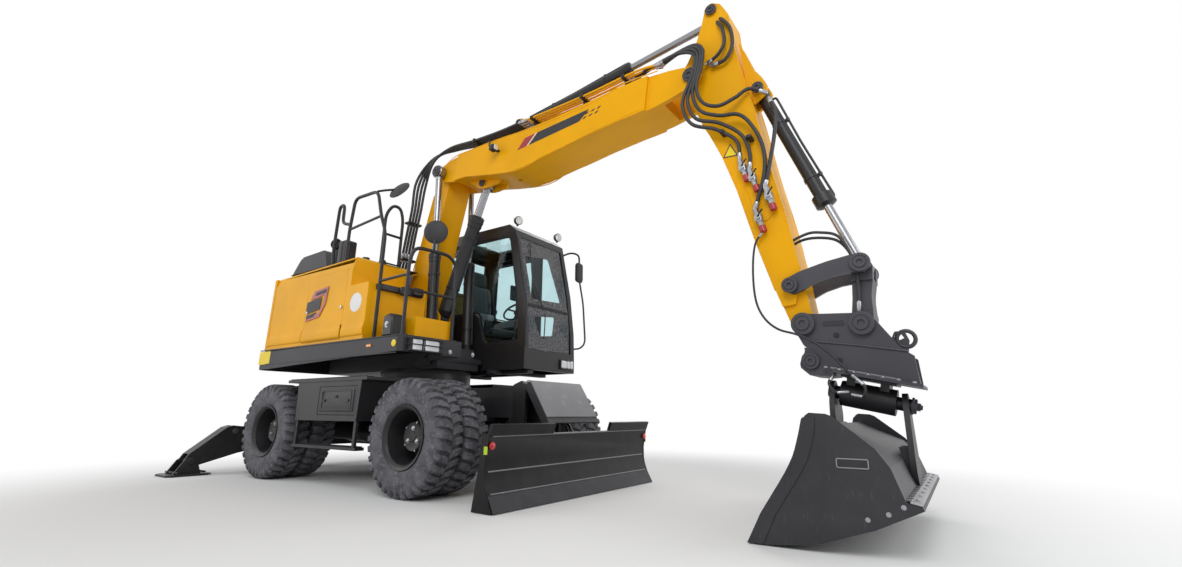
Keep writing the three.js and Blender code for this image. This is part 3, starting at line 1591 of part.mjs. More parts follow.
function stickBody() {
  const points = [
    [3960, 4420, 40],
    [3985, 4560, 50],
    [4105, 4556, 50],
    [4170, 4440, 30],
    [4205, 4360],
    [4215, 4128, 100],
    [4280, 3732, 100],
    [4360, 3339, 100],
    [4458, 2752, 200],
    [4542, 2324, 200],
    [4612, 1900, 200],
    [4664, 1474, 60],
    [4680, 1380, 60],
    [4600, 1318, 50],
    [4530, 1350, 50],
    [4418, 1682, 60],
    [4287, 2139, 200],
    [4130, 2742, 300],
    [3980, 3131, 200],
    [3890, 3330, 150],
    [3750, 3640, 60],
    [3690, 3780, 60],
    [3700, 3900, 80],
    [3840, 4080, 100],
  ];
  const box = armPlate(points, STICK_HALF);
  const inside = armPlate(
    [
      [3980, 3650],
      [4275, 3650],
      [4350, 3300],
      [4430, 2790, 150],
      [4500, 2324, 150],
      [4560, 1950],
      [4390, 1950],
      [4330, 2139],
      [4180, 2742, 200],
      [4030, 3145],
      [3900, 3450],
    ],
    STICK_HALF - 16,
  );
  const drain = armPlate([[4150, 2500], [4300, 2500], [4300, 2540], [4150, 2540]], 30);
  const tailSlot = armPlate(
    [
      [3700, 4620],
      [3700, 4180],
      [3900, 4150],
      [4080, 4300, 60],
      [4240, 4420],
      [4240, 4620],
    ],
    60,
  );
  const noseTrim = bothSides((side) =>
    sidePlate(
      [[4380, 1250], [4380, 1540], [4560, 1560], [4600, 1720], [4780, 1720], [4780, 1250]],
      BOOM_Y + side * 138,
      BOOM_Y + side * 200,
    ),
  );
  const lugs = cheeks(
    [
      [4260, 4080],
      [4377, 3733],
      [4462, 3600, 50],
      [4490, 3500, 60],
      [4430, 3440, 50],
      [4350, 3400],
      [4300, 3600],
    ],
    60,
    96,
  );
  const tailHeads = heads(STICK_TAIL, 48, STICK_HALF - 2, STICK_HALF + 18);
  const barrelPin = armPin(BUCKET_CYL_BASE, smallPin, 110);
  const holes = [
    armHoles(STICK_PIVOT, jointPin, 300),
    armHoles(ROCKER_PIN, smallPin, 300),
    armHoles(COUPLER_PIN, jointPin, 300),
  ];
  const eyeClear = armPin(BUCKET_CYL_BASE, 78, 58);
  const hollow = cut(box, inside, drain, tailSlot, noseTrim);
  return join(cut(join(hollow, lugs), holes, eyeClear), tailHeads, barrelPin);
}

piece("lower_boom", lowerBoom(), YELLOW);
piece("upper_boom", upperBoom(), YELLOW);
piece("stick", stickBody(), YELLOW);

for (const side of [LEFT, RIGHT]) {
  const lift = {
    base: LIFT_BASE,
    eye: BOOM_JOINT,
    y: BOOM_Y + side * LIFT_OFFSET,
    reach: 1240,
    radius: 62,
    pin: liftPinRadius,
    eyeHalf: 40,
    neck: 110,
    eyeRadius: 84,
    inside: 650,
  };
  piece(`lift_barrel_${sideName(side)}`, barrelOf(lift), BLACK);
  const rod = rodOf({ ...lift, eyeHalf: 48 });
  piece(`lift_rod_${sideName(side)}`, rod, CHROME);
}

const adjustCylinder = {
  base: ADJUST_BASE,
  eye: ADJUST_EYE,
  y: BOOM_Y,
  reach: 1350,
  radius: 80,
  pin: smallPin,
  eyeHalf: 76,
  eyeRadius: 66,
  inside: 700,
};
piece("boom_adjust_barrel", barrelOf(adjustCylinder), BLACK);
piece("boom_adjust_rod", rodOf({ ...adjustCylinder, eyeHalf: 56 }), CHROME);

const stickCylinder = {
  base: STICK_CYL_BASE,
  eye: STICK_TAIL,
  y: BOOM_Y,
  reach: 1530,
  radius: 60,
  pin: smallPin,
  eyeHalf: 56,
  eyeRadius: 66,
  inside: 620,
};
piece("stick_barrel", barrelOf(stickCylinder), BLACK);
piece("stick_rod", rodOf(stickCylinder), CHROME);

const bucketCylinder = {
  base: BUCKET_CYL_BASE,
  eye: ROCKER_TOP,
  y: BOOM_Y,
  reach: 1250,
  radius: 56,
  pin: smallPin,
  eyeHalf: 50,
  eyeRadius: 62,
  inside: 600,
};
piece("bucket_barrel", barrelOf(bucketCylinder), BLACK);
piece("bucket_rod", rodOf(bucketCylinder), CHROME);

// The rocker: two banana plates outside the stick, joined by the pin through it.
const rockerPlate = [STICK_HALF + SIDE_PLAY + 2, 205];
function rocker() {
  const points = [
    [4484, 1692, 30],
    [4500, 1745, 30],
    [4576, 1788, 40],
    [4700, 1822, 100],
    [4895, 1866, 80],
    [5057, 1880, 60],
    [5112, 1830, 50],
    [5095, 1740, 50],
    [4978, 1742, 60],
    [4784, 1726, 100],
    [4660, 1672, 60],
    [4593, 1634, 40],
    [4530, 1628, 40],
  ];
  const plates = cheeks(points, ...rockerPlate);
  const pin = armPin(ROCKER_PIN, smallPin, 222);
  const pinHeads = heads(ROCKER_PIN, 52, 200, 225);
  const stubs = heads(ROCKER_TOP, smallPin, 66, rockerPlate[1]);
  const topHeads = heads(ROCKER_TOP, 66, 200, 222);
  return join(plates, pin, pinHeads, stubs, topHeads);
}

// The link between rocker and coupler, waisted, forked at the top for the rod's eye.
function linkBody() {
  const width = 136;
  const points = [
    [4962, 1840, 50],
    [5100, 1852, 50],
    [5112, 1740, 50],
    [5080, 1640, 60],
    [5068, 1500, 60],
    [5078, 1400, 40],
    [5040, 1300, 40],
    [4950, 1300, 40],
    [4922, 1400, 40],
    [4958, 1640, 80],
  ];
  const body = armPlate(points, width);
  const waist = bothSides((side) =>
    sidePlate([[4800, 1460], [5200, 1460], [5200, 1690], [4800, 1690]], BOOM_Y + side * 112,
      BOOM_Y + side * 160),
  );
  const fork = armPlate([[4800, 1700], [5200, 1700], [5200, 1950], [4800, 1950]], 62);
  const hole = armHoles(ROCKER_TOP, smallPin, 200);
  return cut(body, waist, fork, hole);
}

// The quick coupler: two ears for the stick and link pins, over the hook frame and its flange.
function couplerBody() {
  const slope = (TILT_REAR[1] - TILT_FRONT[1]) / (TILT_REAR[0] - TILT_FRONT[0]);
  const under = (x) => TILT_FRONT[1] + 131 + slope * (x - TILT_FRONT[0]);
  const ear = [
    [4520, 1400, 60],
    [4560, 1490, 50],
    [4673, 1470],
    [4939, 1452],
    [5042, 1452, 60],
    [5087, 1382],
    [5213, 1185],
    [5285, 1130],
    [5295, under(5295) + 20],
    [4760, under(4760) + 20],
    [4590, 1245],
  ];
  const plates = cheeks(ear, COUPLER_INNER, COUPLER_OUTER);
  const floorBox = armPlate(
    [
      [4745, 1200, 40],
      [5180, 1150],
      [5270, 1100],
      [5290, under(5290)],
      [4650, under(4650)],
      [4640, 1200],
    ],
    COUPLER_INNER + 5,
  );
  const hook = armPlate(
    [
      [4592, 1225],
      [4600, 1195, 20],
      [4548, 1140, 50],
      [4565, 1030, 60],
      [4700, 1015],
      [4770, 1020],
      [4785, under(4785) + 2],
      [4900, under(4900) + 2],
      [5000, 1180],
    ],
    COUPLER_OUTER,
  );
  const flange = armPlate(
    [
      [4780, under(4780) + 22],
      [5312, under(5312) + 22],
      [5312, under(5312)],
      [4780, under(4780)],
    ],
    235,
  );
  const pins = [armPin(COUPLER_PIN, jointPin, 205)];
  const pinHeads = [
    ...heads(COUPLER_PIN, 80, COUPLER_OUTER - 2, COUPLER_OUTER + 24),
    ...heads(LINK_FOOT, 80, COUPLER_OUTER - 2, COUPLER_OUTER + 24),
    ...heads(HOOK_PIN, 48, COUPLER_OUTER - 2, COUPLER_OUTER + 14),
  ];
  const noseClear = armPin(COUPLER_PIN, 150, COUPLER_INNER, 24);
  const linkClear = armPin(LINK_FOOT, 115, COUPLER_INNER, 24);
  const eye = sidePlate(
    [
      [5230, 1090],
      [5266, 1290, 50],
      [5205, 1345, 50],
      [5144, 1290, 40],
      [5130, 1110],
    ],
    BOOM_Y - 12,
    BOOM_Y + 12,
  );
  const eyeHole = sidePlate(
    [[5180, 1250], [5230, 1270], [5205, 1315], [5170, 1290]],
    BOOM_Y - 20,
    BOOM_Y + 20,
  );
  const core = cut(join(plates, floorBox, hook), noseClear, linkClear);
  return join(core, flange, pins, pinHeads, cut(eye, eyeHole));
}

// The rotary tilt actuator: its housing under the coupler's flange, along the tilt axis.
const tiltAxis = new THREE.Vector2(TILT_REAR[0] - TILT_FRONT[0], TILT_REAR[1] - TILT_FRONT[1]);
function tiltPoint(share, lift = 0) {
  const heading = tiltAxis.clone().normalize();
  const x = TILT_FRONT[0] + tiltAxis.x * share - heading.y * lift;
  const z = TILT_FRONT[1] + tiltAxis.y * share + heading.x * lift;
  return [x, z];
}
const onTilt = (share) => {
  const [x, z] = tiltPoint(share);
  return [x, BOOM_Y, z];
};
const housingEnds = [0.17, 0.8];
const shaftRadius = 46;

function tiltActuator() {
  const housing = bar(onTilt(housingEnds[0]), onTilt(housingEnds[1]), 92);
  const saddle = [0.24, 0.62].map((share) =>
    armPlate(
      [
        tiltPoint(share, 60),
        tiltPoint(share + 0.1, 60),
        tiltPoint(share + 0.1, 126),
        tiltPoint(share, 126),
      ],
      100,
    ),
  );
  const plate = armPlate(
    [
      tiltPoint(0.18, 112),
      tiltPoint(0.8, 112),
      tiltPoint(0.8, 127),
      tiltPoint(0.18, 127),
    ],
    150,
  );
  const shaft = bar(onTilt(0.02), onTilt(0.97), shaftRadius);
  return join(housing, saddle, plate, shaft);
}

// The grading bucket: a shell open towards the machine, side plates and two hanger plates.
const lip = [4319, 6];
function bucketBody() {
  const half = BUCKET_WIDTH / 2;
  const wall = 22;
  const outerPath = [
    lip,
    [4560, 8, 120],
    [4890, 84, 250],
    [5269, 268],
    [5262, 284],
    [5188, 300],
    [5118, 528, 60],
    [4860, 640, 40],
    [4752, 690],
  ];
  const innerPath = [
    [4744, 668],
    [4845, 618, 40],
    [5092, 512, 60],
    [5160, 300, 80],
    [5110, 215, 100],
    [4884, 112, 250],
    [4560, 34, 120],
    [4400, 30],
  ];
  const shell = armPlate([...outerPath, ...innerPath], half);
  const sides = bothSides((side) =>
    sidePlate(
      [
        lip,
        [4560, 8, 120],
        [4890, 84, 250],
        [5250, 262],
        [5190, 300],
        [5118, 530, 60],
        [4850, 752, 20],
        [4722, 760, 20],
        [4690, 640],
        [4640, 480, 150],
        [4430, 180],
      ],
      BOOM_Y + side * (half - wall),
      BOOM_Y + side * half,
    ),
  );
  const hanger = (share, thick, foot) => {
    const [x, z] = tiltPoint(share);
    const plate = endPlate(
      strap([BOOM_Y, z], 78, [BOOM_Y, foot], 150),
      x - thick / 2,
      x + thick / 2,
    );
    const hole = bar(onTilt(share - 0.15), onTilt(share + 0.15), holeFor(shaftRadius) + 6);
    return cut(plate, hole);
  };
  const front = cut(hanger(0.08, 36, 760), block(4600, 4860, -500, 300, 300, 640));
  const rear = cut(hanger(0.9, 36, 430), block(5000, 5300, -500, 300, 200, 290));
  const ribs = bothSides((side) =>
    sidePlate(
      [
        [5110, 545],
        [5190, 545],
        [5190, 296],
        [5160, 330],
      ],
      BOOM_Y + side * 80,
      BOOM_Y + side * 100,
    ),
  );
  const foot = sidePlate(
    [
      [4716, 700],
      [4765, 700],
      [4840, 640],
      [4744, 668],
    ],
    BOOM_Y - 150,
    BOOM_Y + 150,
  );
  return join(shell, sides, front, rear, ribs, foot);
}

piece("rocker", rocker(), GREY);
piece("link", linkBody(), GREY);
piece("coupler", couplerBody(), GREY);
piece("tilt_actuator", tiltActuator(), BLACK);
piece("bucket", bucketBody(), GREY);

// ---------------------------------------------------------------------------------------------
// The machine stands on the ground, centred on the origin.
// ---------------------------------------------------------------------------------------------
const CENTRE_X = 1381;
machine.position.set(-CENTRE_X, 0, 0);
const excavator = new THREE.Group();
excavator.add(machine);

export default excavator;
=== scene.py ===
"""A wheeled excavator: finishes, tyres, glass, cylinders, hoses and fittings round its fixed CAD frame.

Every piece is worked out in the machine's own frame, in metres: x forward from the slewing axis,
y to the operator's left, z up from the ground. piece() and hose() shift it into the frame's row.
"""

import json
import math

import bmesh
import bpy
import numpy as np
from mathutils import Matrix, Vector


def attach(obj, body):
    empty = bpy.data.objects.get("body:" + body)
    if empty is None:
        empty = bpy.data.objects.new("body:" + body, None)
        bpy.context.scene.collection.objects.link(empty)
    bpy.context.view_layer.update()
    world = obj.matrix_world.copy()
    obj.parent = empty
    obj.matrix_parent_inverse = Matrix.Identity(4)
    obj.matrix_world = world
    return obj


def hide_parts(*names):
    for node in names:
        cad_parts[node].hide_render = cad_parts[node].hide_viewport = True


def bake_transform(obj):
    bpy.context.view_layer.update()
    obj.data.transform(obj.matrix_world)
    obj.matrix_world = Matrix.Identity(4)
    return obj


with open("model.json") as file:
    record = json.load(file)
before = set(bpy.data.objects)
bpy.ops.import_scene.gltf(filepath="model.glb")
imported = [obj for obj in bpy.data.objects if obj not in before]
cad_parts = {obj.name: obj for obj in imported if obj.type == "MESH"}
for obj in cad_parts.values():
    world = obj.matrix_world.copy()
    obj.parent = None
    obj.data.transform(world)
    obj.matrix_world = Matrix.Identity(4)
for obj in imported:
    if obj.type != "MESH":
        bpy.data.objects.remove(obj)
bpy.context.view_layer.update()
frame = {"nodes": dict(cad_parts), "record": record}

RECORD = frame["record"]
JOINTS = {joint["name"]: joint for joint in RECORD["behaviour"]["joints"]}
BODY_OF = {node: body for body, nodes in RECORD["behaviour"]["bodies"].items() for node in nodes}
SLEW_X = JOINTS["slew"]["pos_m"][0]
TO_ROW = np.array([SLEW_X, 0.0, 0.0])

BOOM_Y = -0.1
BOOM_HALF = 0.25
STICK_HALF = 0.165
STICK_SIDE = BOOM_Y - STICK_HALF
TYRE_RADIUS = 0.53
AXLES = {"front": 1.275, "rear": -1.275}
TWIN = (1.11, 0.80)
SIDES = {"left": 1, "right": -1}


def pin(joint):
    """Where a joint's axis runs, in the machine's own frame."""
    return np.array(JOINTS[joint]["pos_m"]) - TO_ROW


# ---------------------------------------------------------------------------------------------
# Camera, light and floor
# ---------------------------------------------------------------------------------------------
CAMERA_PLACE = (5.5221, -4.4226, 0.748)
CAMERA_ANGLES = (0.6018, 0.2636, 0.0062)
SENSOR_MM = 36
LENS_MM = 16.183
LENS_SHIFT = -0.0116
CLIP_END = 200
FLOOR_REACH = 60.0
SHADOW_REACH = (3.2, 7.0)


def make_camera():
    """A wide lens low by the front right corner, looking up past the blade. Its axes are the unit
    vectors of the heading and the pitch, turned by the roll about the line of sight."""
    heading, pitch, roll = CAMERA_ANGLES
    ahead = Vector((-math.sin(heading) * math.cos(pitch), math.cos(heading) * math.cos(pitch),
                    math.sin(pitch)))
    level = Vector((math.cos(heading), math.sin(heading), 0))
    upright = level.cross(ahead)
    across = level * math.cos(roll) + upright * math.sin(roll)
    up = upright * math.cos(roll) - level * math.sin(roll)
    data = bpy.data.cameras.new("camera")
    data.sensor_width = SENSOR_MM
    data.lens = LENS_MM
    data.shift_y = LENS_SHIFT
    data.clip_end = CLIP_END
    camera = bpy.data.objects.new("camera", data)
    turn = Matrix((across, up, -ahead)).transposed().to_4x4()
    camera.matrix_world = Matrix.Translation(Vector(CAMERA_PLACE) + Vector(TO_ROW)) @ turn
    bpy.context.scene.collection.objects.link(camera)
    bpy.context.scene.camera = camera


def area_light(name, place, target, size, power):
    """A square soft light that faces its target."""
    data = bpy.data.lights.new(name, "AREA")
    data.shape = "SQUARE"
    data.size = size
    data.energy = power
    light = bpy.data.objects.new(name, data)
    light.location = place
    aim = Vector(target) - Vector(place)
    light.rotation_euler = aim.to_track_quat("-Z", "Y").to_euler()
    bpy.context.scene.collection.objects.link(light)


def seen_directly(nodes, links):
    """One for a ray from the camera, off a glossy surface or through glass, and zero for the rest."""
    path = nodes.new("ShaderNodeLightPath")
    seen = path.outputs["Is Camera Ray"]
    for kind in ("Is Glossy Ray", "Is Transmission Ray"):
        either = nodes.new("ShaderNodeMath")
        either.operation = "MAXIMUM"
        links.new(seen, either.inputs[0])
        links.new(path.outputs[kind], either.inputs[1])
        seen = either.outputs[0]
    return seen


def make_world():
    """White where it is seen, and a plain dim white where it lights the machine."""
    world = bpy.data.worlds.new("studio")
    bpy.context.scene.world = world
    world.use_nodes = True
    nodes, links = world.node_tree.nodes, world.node_tree.links
    nodes.clear()
    dim = nodes.new("ShaderNodeBackground")
    dim.inputs["Color"].default_value = (0.95, 0.97, 1.0, 1)
    dim.inputs["Strength"].default_value = 0.45
    white = nodes.new("ShaderNodeBackground")
    white.inputs["Color"].default_value = (1, 1, 1, 1)
    mix = nodes.new("ShaderNodeMixShader")
    out = nodes.new("ShaderNodeOutputWorld")
    links.new(seen_directly(nodes, links), mix.inputs[0])
    links.new(dim.outputs[0], mix.inputs[1])
    links.new(white.outputs[0], mix.inputs[2])
    links.new(mix.outputs[0], out.inputs[0])


def make_floor():
    """A pale floor that keeps the machine's shadow and turns to plain white further out."""
    mesh = bpy.data.meshes.new("floor")
    square = ((-1, -1), (1, -1), (1, 1), (-1, 1))
    mesh.from_pydata([(x * FLOOR_REACH, y * FLOOR_REACH, 0) for x, y in square], [], [(0, 1, 2, 3)])
    floor = bpy.data.objects.new("floor", mesh)
    bpy.context.scene.collection.objects.link(floor)
    material = bpy.data.materials.new("floor")
    material.use_nodes = True
    nodes, links = material.node_tree.nodes, material.node_tree.links
    nodes.clear()
    place = nodes.new("ShaderNodeTexCoord")
    length = nodes.new("ShaderNodeVectorMath")
    length.operation = "LENGTH"
    links.new(place.outputs["Object"], length.inputs[0])
    fade = nodes.new("ShaderNodeMapRange")
    fade.interpolation_type = "SMOOTHSTEP"
    fade.inputs["From Min"].default_value, fade.inputs["From Max"].default_value = SHADOW_REACH
    links.new(length.outputs["Value"], fade.inputs["Value"])
    diffuse = nodes.new("ShaderNodeBsdfDiffuse")
    diffuse.inputs["Color"].default_value = (0.88, 0.88, 0.87, 1)
    white = nodes.new("ShaderNodeEmission")
    both = nodes.new("ShaderNodeMath")
    both.operation = "MULTIPLY"
    links.new(fade.outputs["Result"], both.inputs[0])
    links.new(seen_directly(nodes, links), both.inputs[1])
    mix = nodes.new("ShaderNodeMixShader")
    out = nodes.new("ShaderNodeOutputMaterial")
    links.new(both.outputs[0], mix.inputs[0])
    links.new(diffuse.outputs[0], mix.inputs[1])
    links.new(white.outputs[0], mix.inputs[2])
    links.new(mix.outputs[0], out.inputs[0])
    mesh.materials.append(material)


make_camera()
make_world()
make_floor()
area_light("key", (5.0, -7.0, 7.5), (0.0, 0.0, 1.6), 5.0, 360)
area_light("fill", (-6.5, -6.0, 4.0), (-0.5, 0.0, 1.4), 5.0, 125)
area_light("back", (-2.0, 7.5, 6.5), (0.0, 0.0, 1.6), 5.0, 200)
area_light("nose", (8.5, 1.5, 3.5), (1.5, 0.0, 1.2), 4.0, 130)
bpy.context.scene.view_settings.view_transform = "Standard"


# ---------------------------------------------------------------------------------------------
# Finishes
# ---------------------------------------------------------------------------------------------
DUST = "8A8378"
GLASS_TINT = "DCEEF0"
GLASS_ROUGHNESS = 0.01
GLASS_INDEX = 1.2


def tint(code, gain=1.0):
    """A six-figure screen colour as the linear colour that a shader takes."""
    channel = np.array([int(code[i:i + 2], 16) for i in (0, 2, 4)]) / 255
    linear = np.where(channel <= 0.04045, channel / 12.92, ((channel + 0.055) / 1.055) ** 2.4)
    return (*np.clip(linear * gain, 0, 1), 1.0)


class Shader:
    """A material's nodes, wired one call at a time."""

    def __init__(self, name):
        self.material = bpy.data.materials.new(name)
        self.material.use_nodes = True
        self.nodes = self.material.node_tree.nodes
        self.links = self.material.node_tree.links
        self.surface = self.nodes["Principled BSDF"]
        self.place = self.nodes.new("ShaderNodeTexCoord").outputs["Object"]

    def noise(self, scale, detail=3.0, stretch=None):
        """A noise on the piece's own place, drawn out along the axes when it is stretched."""
        source = self.place
        if stretch:
            mapping = self.nodes.new("ShaderNodeMapping")
            mapping.inputs["Scale"].default_value = stretch
            self.links.new(source, mapping.inputs["Vector"])
            source = mapping.outputs["Vector"]
        node = self.nodes.new("ShaderNodeTexNoise")
        node.inputs["Scale"].default_value = scale
        node.inputs["Detail"].default_value = detail
        self.links.new(source, node.inputs["Vector"])
        return node.outputs["Fac"]

    def ranged(self, value, low, high, to_low=0.0, to_high=1.0):
        """A value carried by a smooth step from low..high to to_low..to_high."""
        node = self.nodes.new("ShaderNodeMapRange")
        node.interpolation_type = "SMOOTHSTEP"
        for socket, number in (("From Min", low), ("From Max", high), ("To Min", to_low),
                               ("To Max", to_high)):
            node.inputs[socket].default_value = number
        self.links.new(value, node.inputs["Value"])
        return node.outputs["Result"]

    def product(self, first, second):
        """Two values, wired or plain, multiplied."""
        node = self.nodes.new("ShaderNodeMath")
        node.operation = "MULTIPLY"
        for socket, value in zip(node.inputs, (first, second)):
            if isinstance(value, (int, float)):
                socket.default_value = value
            else:
                self.links.new(value, socket)
        return node.outputs[0]

    def mixed(self, factor, first, second):
        """The first colour where the factor is zero and the second where it is one."""
        node = self.nodes.new("ShaderNodeMix")
        node.data_type = "RGBA"
        self.links.new(factor, node.inputs["Factor"])
        for socket, value in ((node.inputs[6], first), (node.inputs[7], second)):
            if isinstance(value, tuple):
                socket.default_value = value
            else:
                self.links.new(value, socket)
        return node.outputs[2]

    def height(self):
        """Height above the ground."""
        node = self.nodes.new("ShaderNodeSeparateXYZ")
        self.links.new(self.place, node.inputs[0])
        return node.outputs["Z"]

    def bump(self, height, strength, distance=0.002, onto=None):
        """The normal tilted by a height, on top of an earlier normal when one is given."""
        node = self.nodes.new("ShaderNodeBump")
        node.inputs["Strength"].default_value = strength
        node.inputs["Distance"].default_value = distance
        self.links.new(height, node.inputs["Height"])
        if onto:
            self.links.new(onto, node.inputs["Normal"])
        return node.outputs["Normal"]

    def set(self, **values):
        """Plain numbers for the surface's own sockets."""
        for name, value in values.items():
            self.surface.inputs[name.replace("_", " ")].default_value = value


def finish_of(name, colour, roughness, metallic=0.0, shift=0.08, gloss=0.07, grain=260.0, bump=0.12,
              dust=0.0, worn=None, wear=0.0, coat=0.0, stretch=None, ripple=0.0, sheen=0.5):
    """A coated or bare surface. A slow noise moves its colour, a fine one its gloss and height.
    Dust thins out with height above the ground, and a scratch noise shows what is worn bare."""
    shader = Shader(name)
    base = shader.mixed(shader.ranged(shader.noise(1.8), 0.32, 0.68), tint(colour, 1 - shift),
                        tint(colour, 1 + shift))
    if dust:
        low = shader.ranged(shader.height(), 0.0, 1.5, 1.0, 0.12)
        patches = shader.ranged(shader.noise(7.0, 6.0), 0.35, 0.75)
        base = shader.mixed(shader.product(shader.product(low, patches), dust), base, tint(DUST))
    if worn:
        scratch = shader.ranged(shader.noise(14.0, 8.0, stretch or (1, 1, 1)), 0.60, 0.72)
        base = shader.mixed(shader.product(scratch, wear), base, tint(worn))
    shader.links.new(base, shader.surface.inputs["Base Color"])
    fine = shader.noise(grain, 2.0, stretch)
    rough = shader.ranged(fine, 0.3, 0.7, max(roughness - gloss, 0.02), roughness + gloss)
    shader.links.new(rough, shader.surface.inputs["Roughness"])
    normal = shader.bump(fine, bump)
    if ripple:
        normal = shader.bump(shader.noise(5.0, 2.0), ripple, 0.01, normal)
    shader.links.new(normal, shader.surface.inputs["Normal"])
    shader.set(Metallic=metallic, Coat_Weight=coat, Coat_Roughness=0.15, Specular_IOR_Level=sheen)
    return shader.material


def rubber_finish():
    """Tyre rubber: grey with dust in the low places, finely grained."""
    shader = Shader("tyre_rubber")
    patches = shader.ranged(shader.noise(9.0, 8.0), 0.30, 0.70)
    base = shader.mixed(patches, tint("454449"), tint("636267"))
    streaks = shader.ranged(shader.noise(38.0, 6.0), 0.52, 0.72)
    base = shader.mixed(shader.product(streaks, 0.38), base, tint("9A999E"))
    shader.links.new(base, shader.surface.inputs["Base Color"])
    fine = shader.noise(130.0, 5.0)
    shader.links.new(shader.ranged(fine, 0.3, 0.7, 0.66, 0.88), shader.surface.inputs["Roughness"])
    shader.links.new(shader.bump(fine, 0.5, 0.003), shader.surface.inputs["Normal"])
    return shader.material


def glass_finish():
    """Clear tinted glass with a faint film on it."""
    shader = Shader("cab_glass")
    film = shader.ranged(shader.noise(6.0, 4.0), 0.3, 0.8, GLASS_ROUGHNESS, GLASS_ROUGHNESS + 0.05)
    shader.links.new(film, shader.surface.inputs["Roughness"])
    veil = shader.mixed(shader.ranged(shader.noise(2.0), 0.3, 0.7), tint(GLASS_TINT, 0.97), tint(GLASS_TINT))
    shader.links.new(veil, shader.surface.inputs["Base Color"])
    shader.set(Transmission_Weight=1.0, IOR=GLASS_INDEX)
    return shader.material


def frit_finish():
    """The dark speckled border baked on the windscreen."""
    shader = Shader("glass_border")
    specks = shader.ranged(shader.noise(62.0, 5.0), 0.47, 0.62)
    base = shader.mixed(specks, tint("202023"), tint("6F6E74"))
    shader.links.new(base, shader.surface.inputs["Base Color"])
    shader.links.new(shader.bump(specks, 0.3), shader.surface.inputs["Normal"])
    shader.set(Roughness=0.35)
    return shader.material


def lamp_finish(name, colour, glow=0.0):
    """A ribbed lamp lens."""
    shader = Shader(name)
    wave = shader.nodes.new("ShaderNodeTexWave")
    wave.inputs["Scale"].default_value = 32.0
    shader.links.new(shader.place, wave.inputs["Vector"])
    base = shader.mixed(wave.outputs["Fac"], tint(colour, 0.78), tint(colour))
    shader.links.new(base, shader.surface.inputs["Base Color"])
    shader.links.new(shader.bump(wave.outputs["Fac"], 0.3), shader.surface.inputs["Normal"])
    shader.set(Roughness=0.14, Coat_Weight=0.6, Emission_Color=tint(colour), Emission_Strength=glow)
    return shader.material


def fabric_finish():
    """Woven seat cloth with a soft sheen."""
    shader = Shader("seat_fabric")
    weave = []
    for axis in ("X", "Z"):
        wave = shader.nodes.new("ShaderNodeTexWave")
        wave.bands_direction = axis
        wave.inputs["Scale"].default_value = 160.0
        wave.inputs["Distortion"].default_value = 0.6
        shader.links.new(shader.place, wave.inputs["Vector"])
        weave.append(wave.outputs["Fac"])
    cloth = shader.product(*weave)
    shader.links.new(shader.mixed(cloth, tint("26262A"), tint("4B4A50")),
                     shader.surface.inputs["Base Color"])
    shader.links.new(shader.bump(cloth, 0.5), shader.surface.inputs["Normal"])
    shader.set(Roughness=0.85, Sheen_Weight=0.3)
    return shader.material


YELLOW = finish_of("yellow_paint", "F0AC00", 0.42, shift=0.06, coat=0.05, dust=0.05, bump=0.05, ripple=0.03,
                   sheen=0.16)
BLACK = finish_of("black_paint", "222225", 0.44, shift=0.16, dust=0.05, bump=0.08, coat=0.08, sheen=0.35)
# The blade's finish is the black paint made darker: painted shade over the blade, kept in the black paint's
# slot.
BLADE_SHADED_BLACK = finish_of("blade_black_painted_shade", "121214", 0.36, shift=0.16, dust=0.03, bump=0.08, coat=0.05, sheen=0.22)
SATIN = finish_of("satin_black_panel", "323236", 0.52, shift=0.12, dust=0.04, bump=0.12, sheen=0.35)
GREY = finish_of("grey_paint", "434349", 0.48, metallic=0.15, shift=0.12, dust=0.05, bump=0.10, sheen=0.4)
STEEL = finish_of("worn_steel", "343438", 0.46, metallic=0.30, shift=0.14, dust=0.04, worn="55555A",
                  wear=0.35, stretch=(5, 5, 1), bump=0.12, sheen=0.4)
EDGE = finish_of("bare_edge_steel", "9A9A9E", 0.36, metallic=0.8, shift=0.15, worn="5B5A5C", wear=0.7,
                 stretch=(1, 8, 1), bump=0.25)
SHEET = finish_of("guard_sheet", "7E7E82", 0.52, metallic=0.1, shift=0.08, dust=0.15, worn="A9A9AC", wear=0.4,
                  bump=0.12)
CHROME = finish_of("chrome_rod", "96979B", 0.24, metallic=0.9, shift=0.03, gloss=0.04, grain=90, bump=0.0)
BOLT = finish_of("zinc_bolt", "A4A5AA", 0.30, metallic=0.9, shift=0.1, bump=0.1)
RUBBER = rubber_finish()
HOSE = finish_of("hose_rubber", "222225", 0.50, shift=0.25, dust=0.12, grain=420, bump=0.3)
SEAL = finish_of("window_seal", "18181A", 0.70, shift=0.2, bump=0.3)
PLASTIC = finish_of("moulded_plastic", "2E2E31", 0.62, shift=0.12, grain=520, bump=0.35)
TRIM = finish_of("console_plastic", "8B898C", 0.58, shift=0.08, grain=520, bump=0.3)
WHITE = finish_of("white_sign", "E6E6E4", 0.45, shift=0.03, bump=0.05)
RED = finish_of("red_cap", "A41220", 0.38, shift=0.1, bump=0.08, coat=0.3)
SIGN = finish_of("sign_yellow", "F2D21C", 0.45, shift=0.04, bump=0.05)
LIME = finish_of("lime_marker", "B9D220", 0.42, shift=0.06, bump=0.05)
GLASS = glass_finish()
MIRROR = finish_of("mirror_glass", "A9AEB2", 0.08, metallic=1.0, shift=0.03, gloss=0.02, bump=0.01)
FRIT = frit_finish()
CLEAR_LAMP = lamp_finish("clear_lamp", "E4E8EA", 0.05)
AMBER = lamp_finish("amber_lamp", "F09014", 0.08)
RED_LAMP = lamp_finish("red_lamp", "C4101C", 0.05)
FABRIC = fabric_finish()
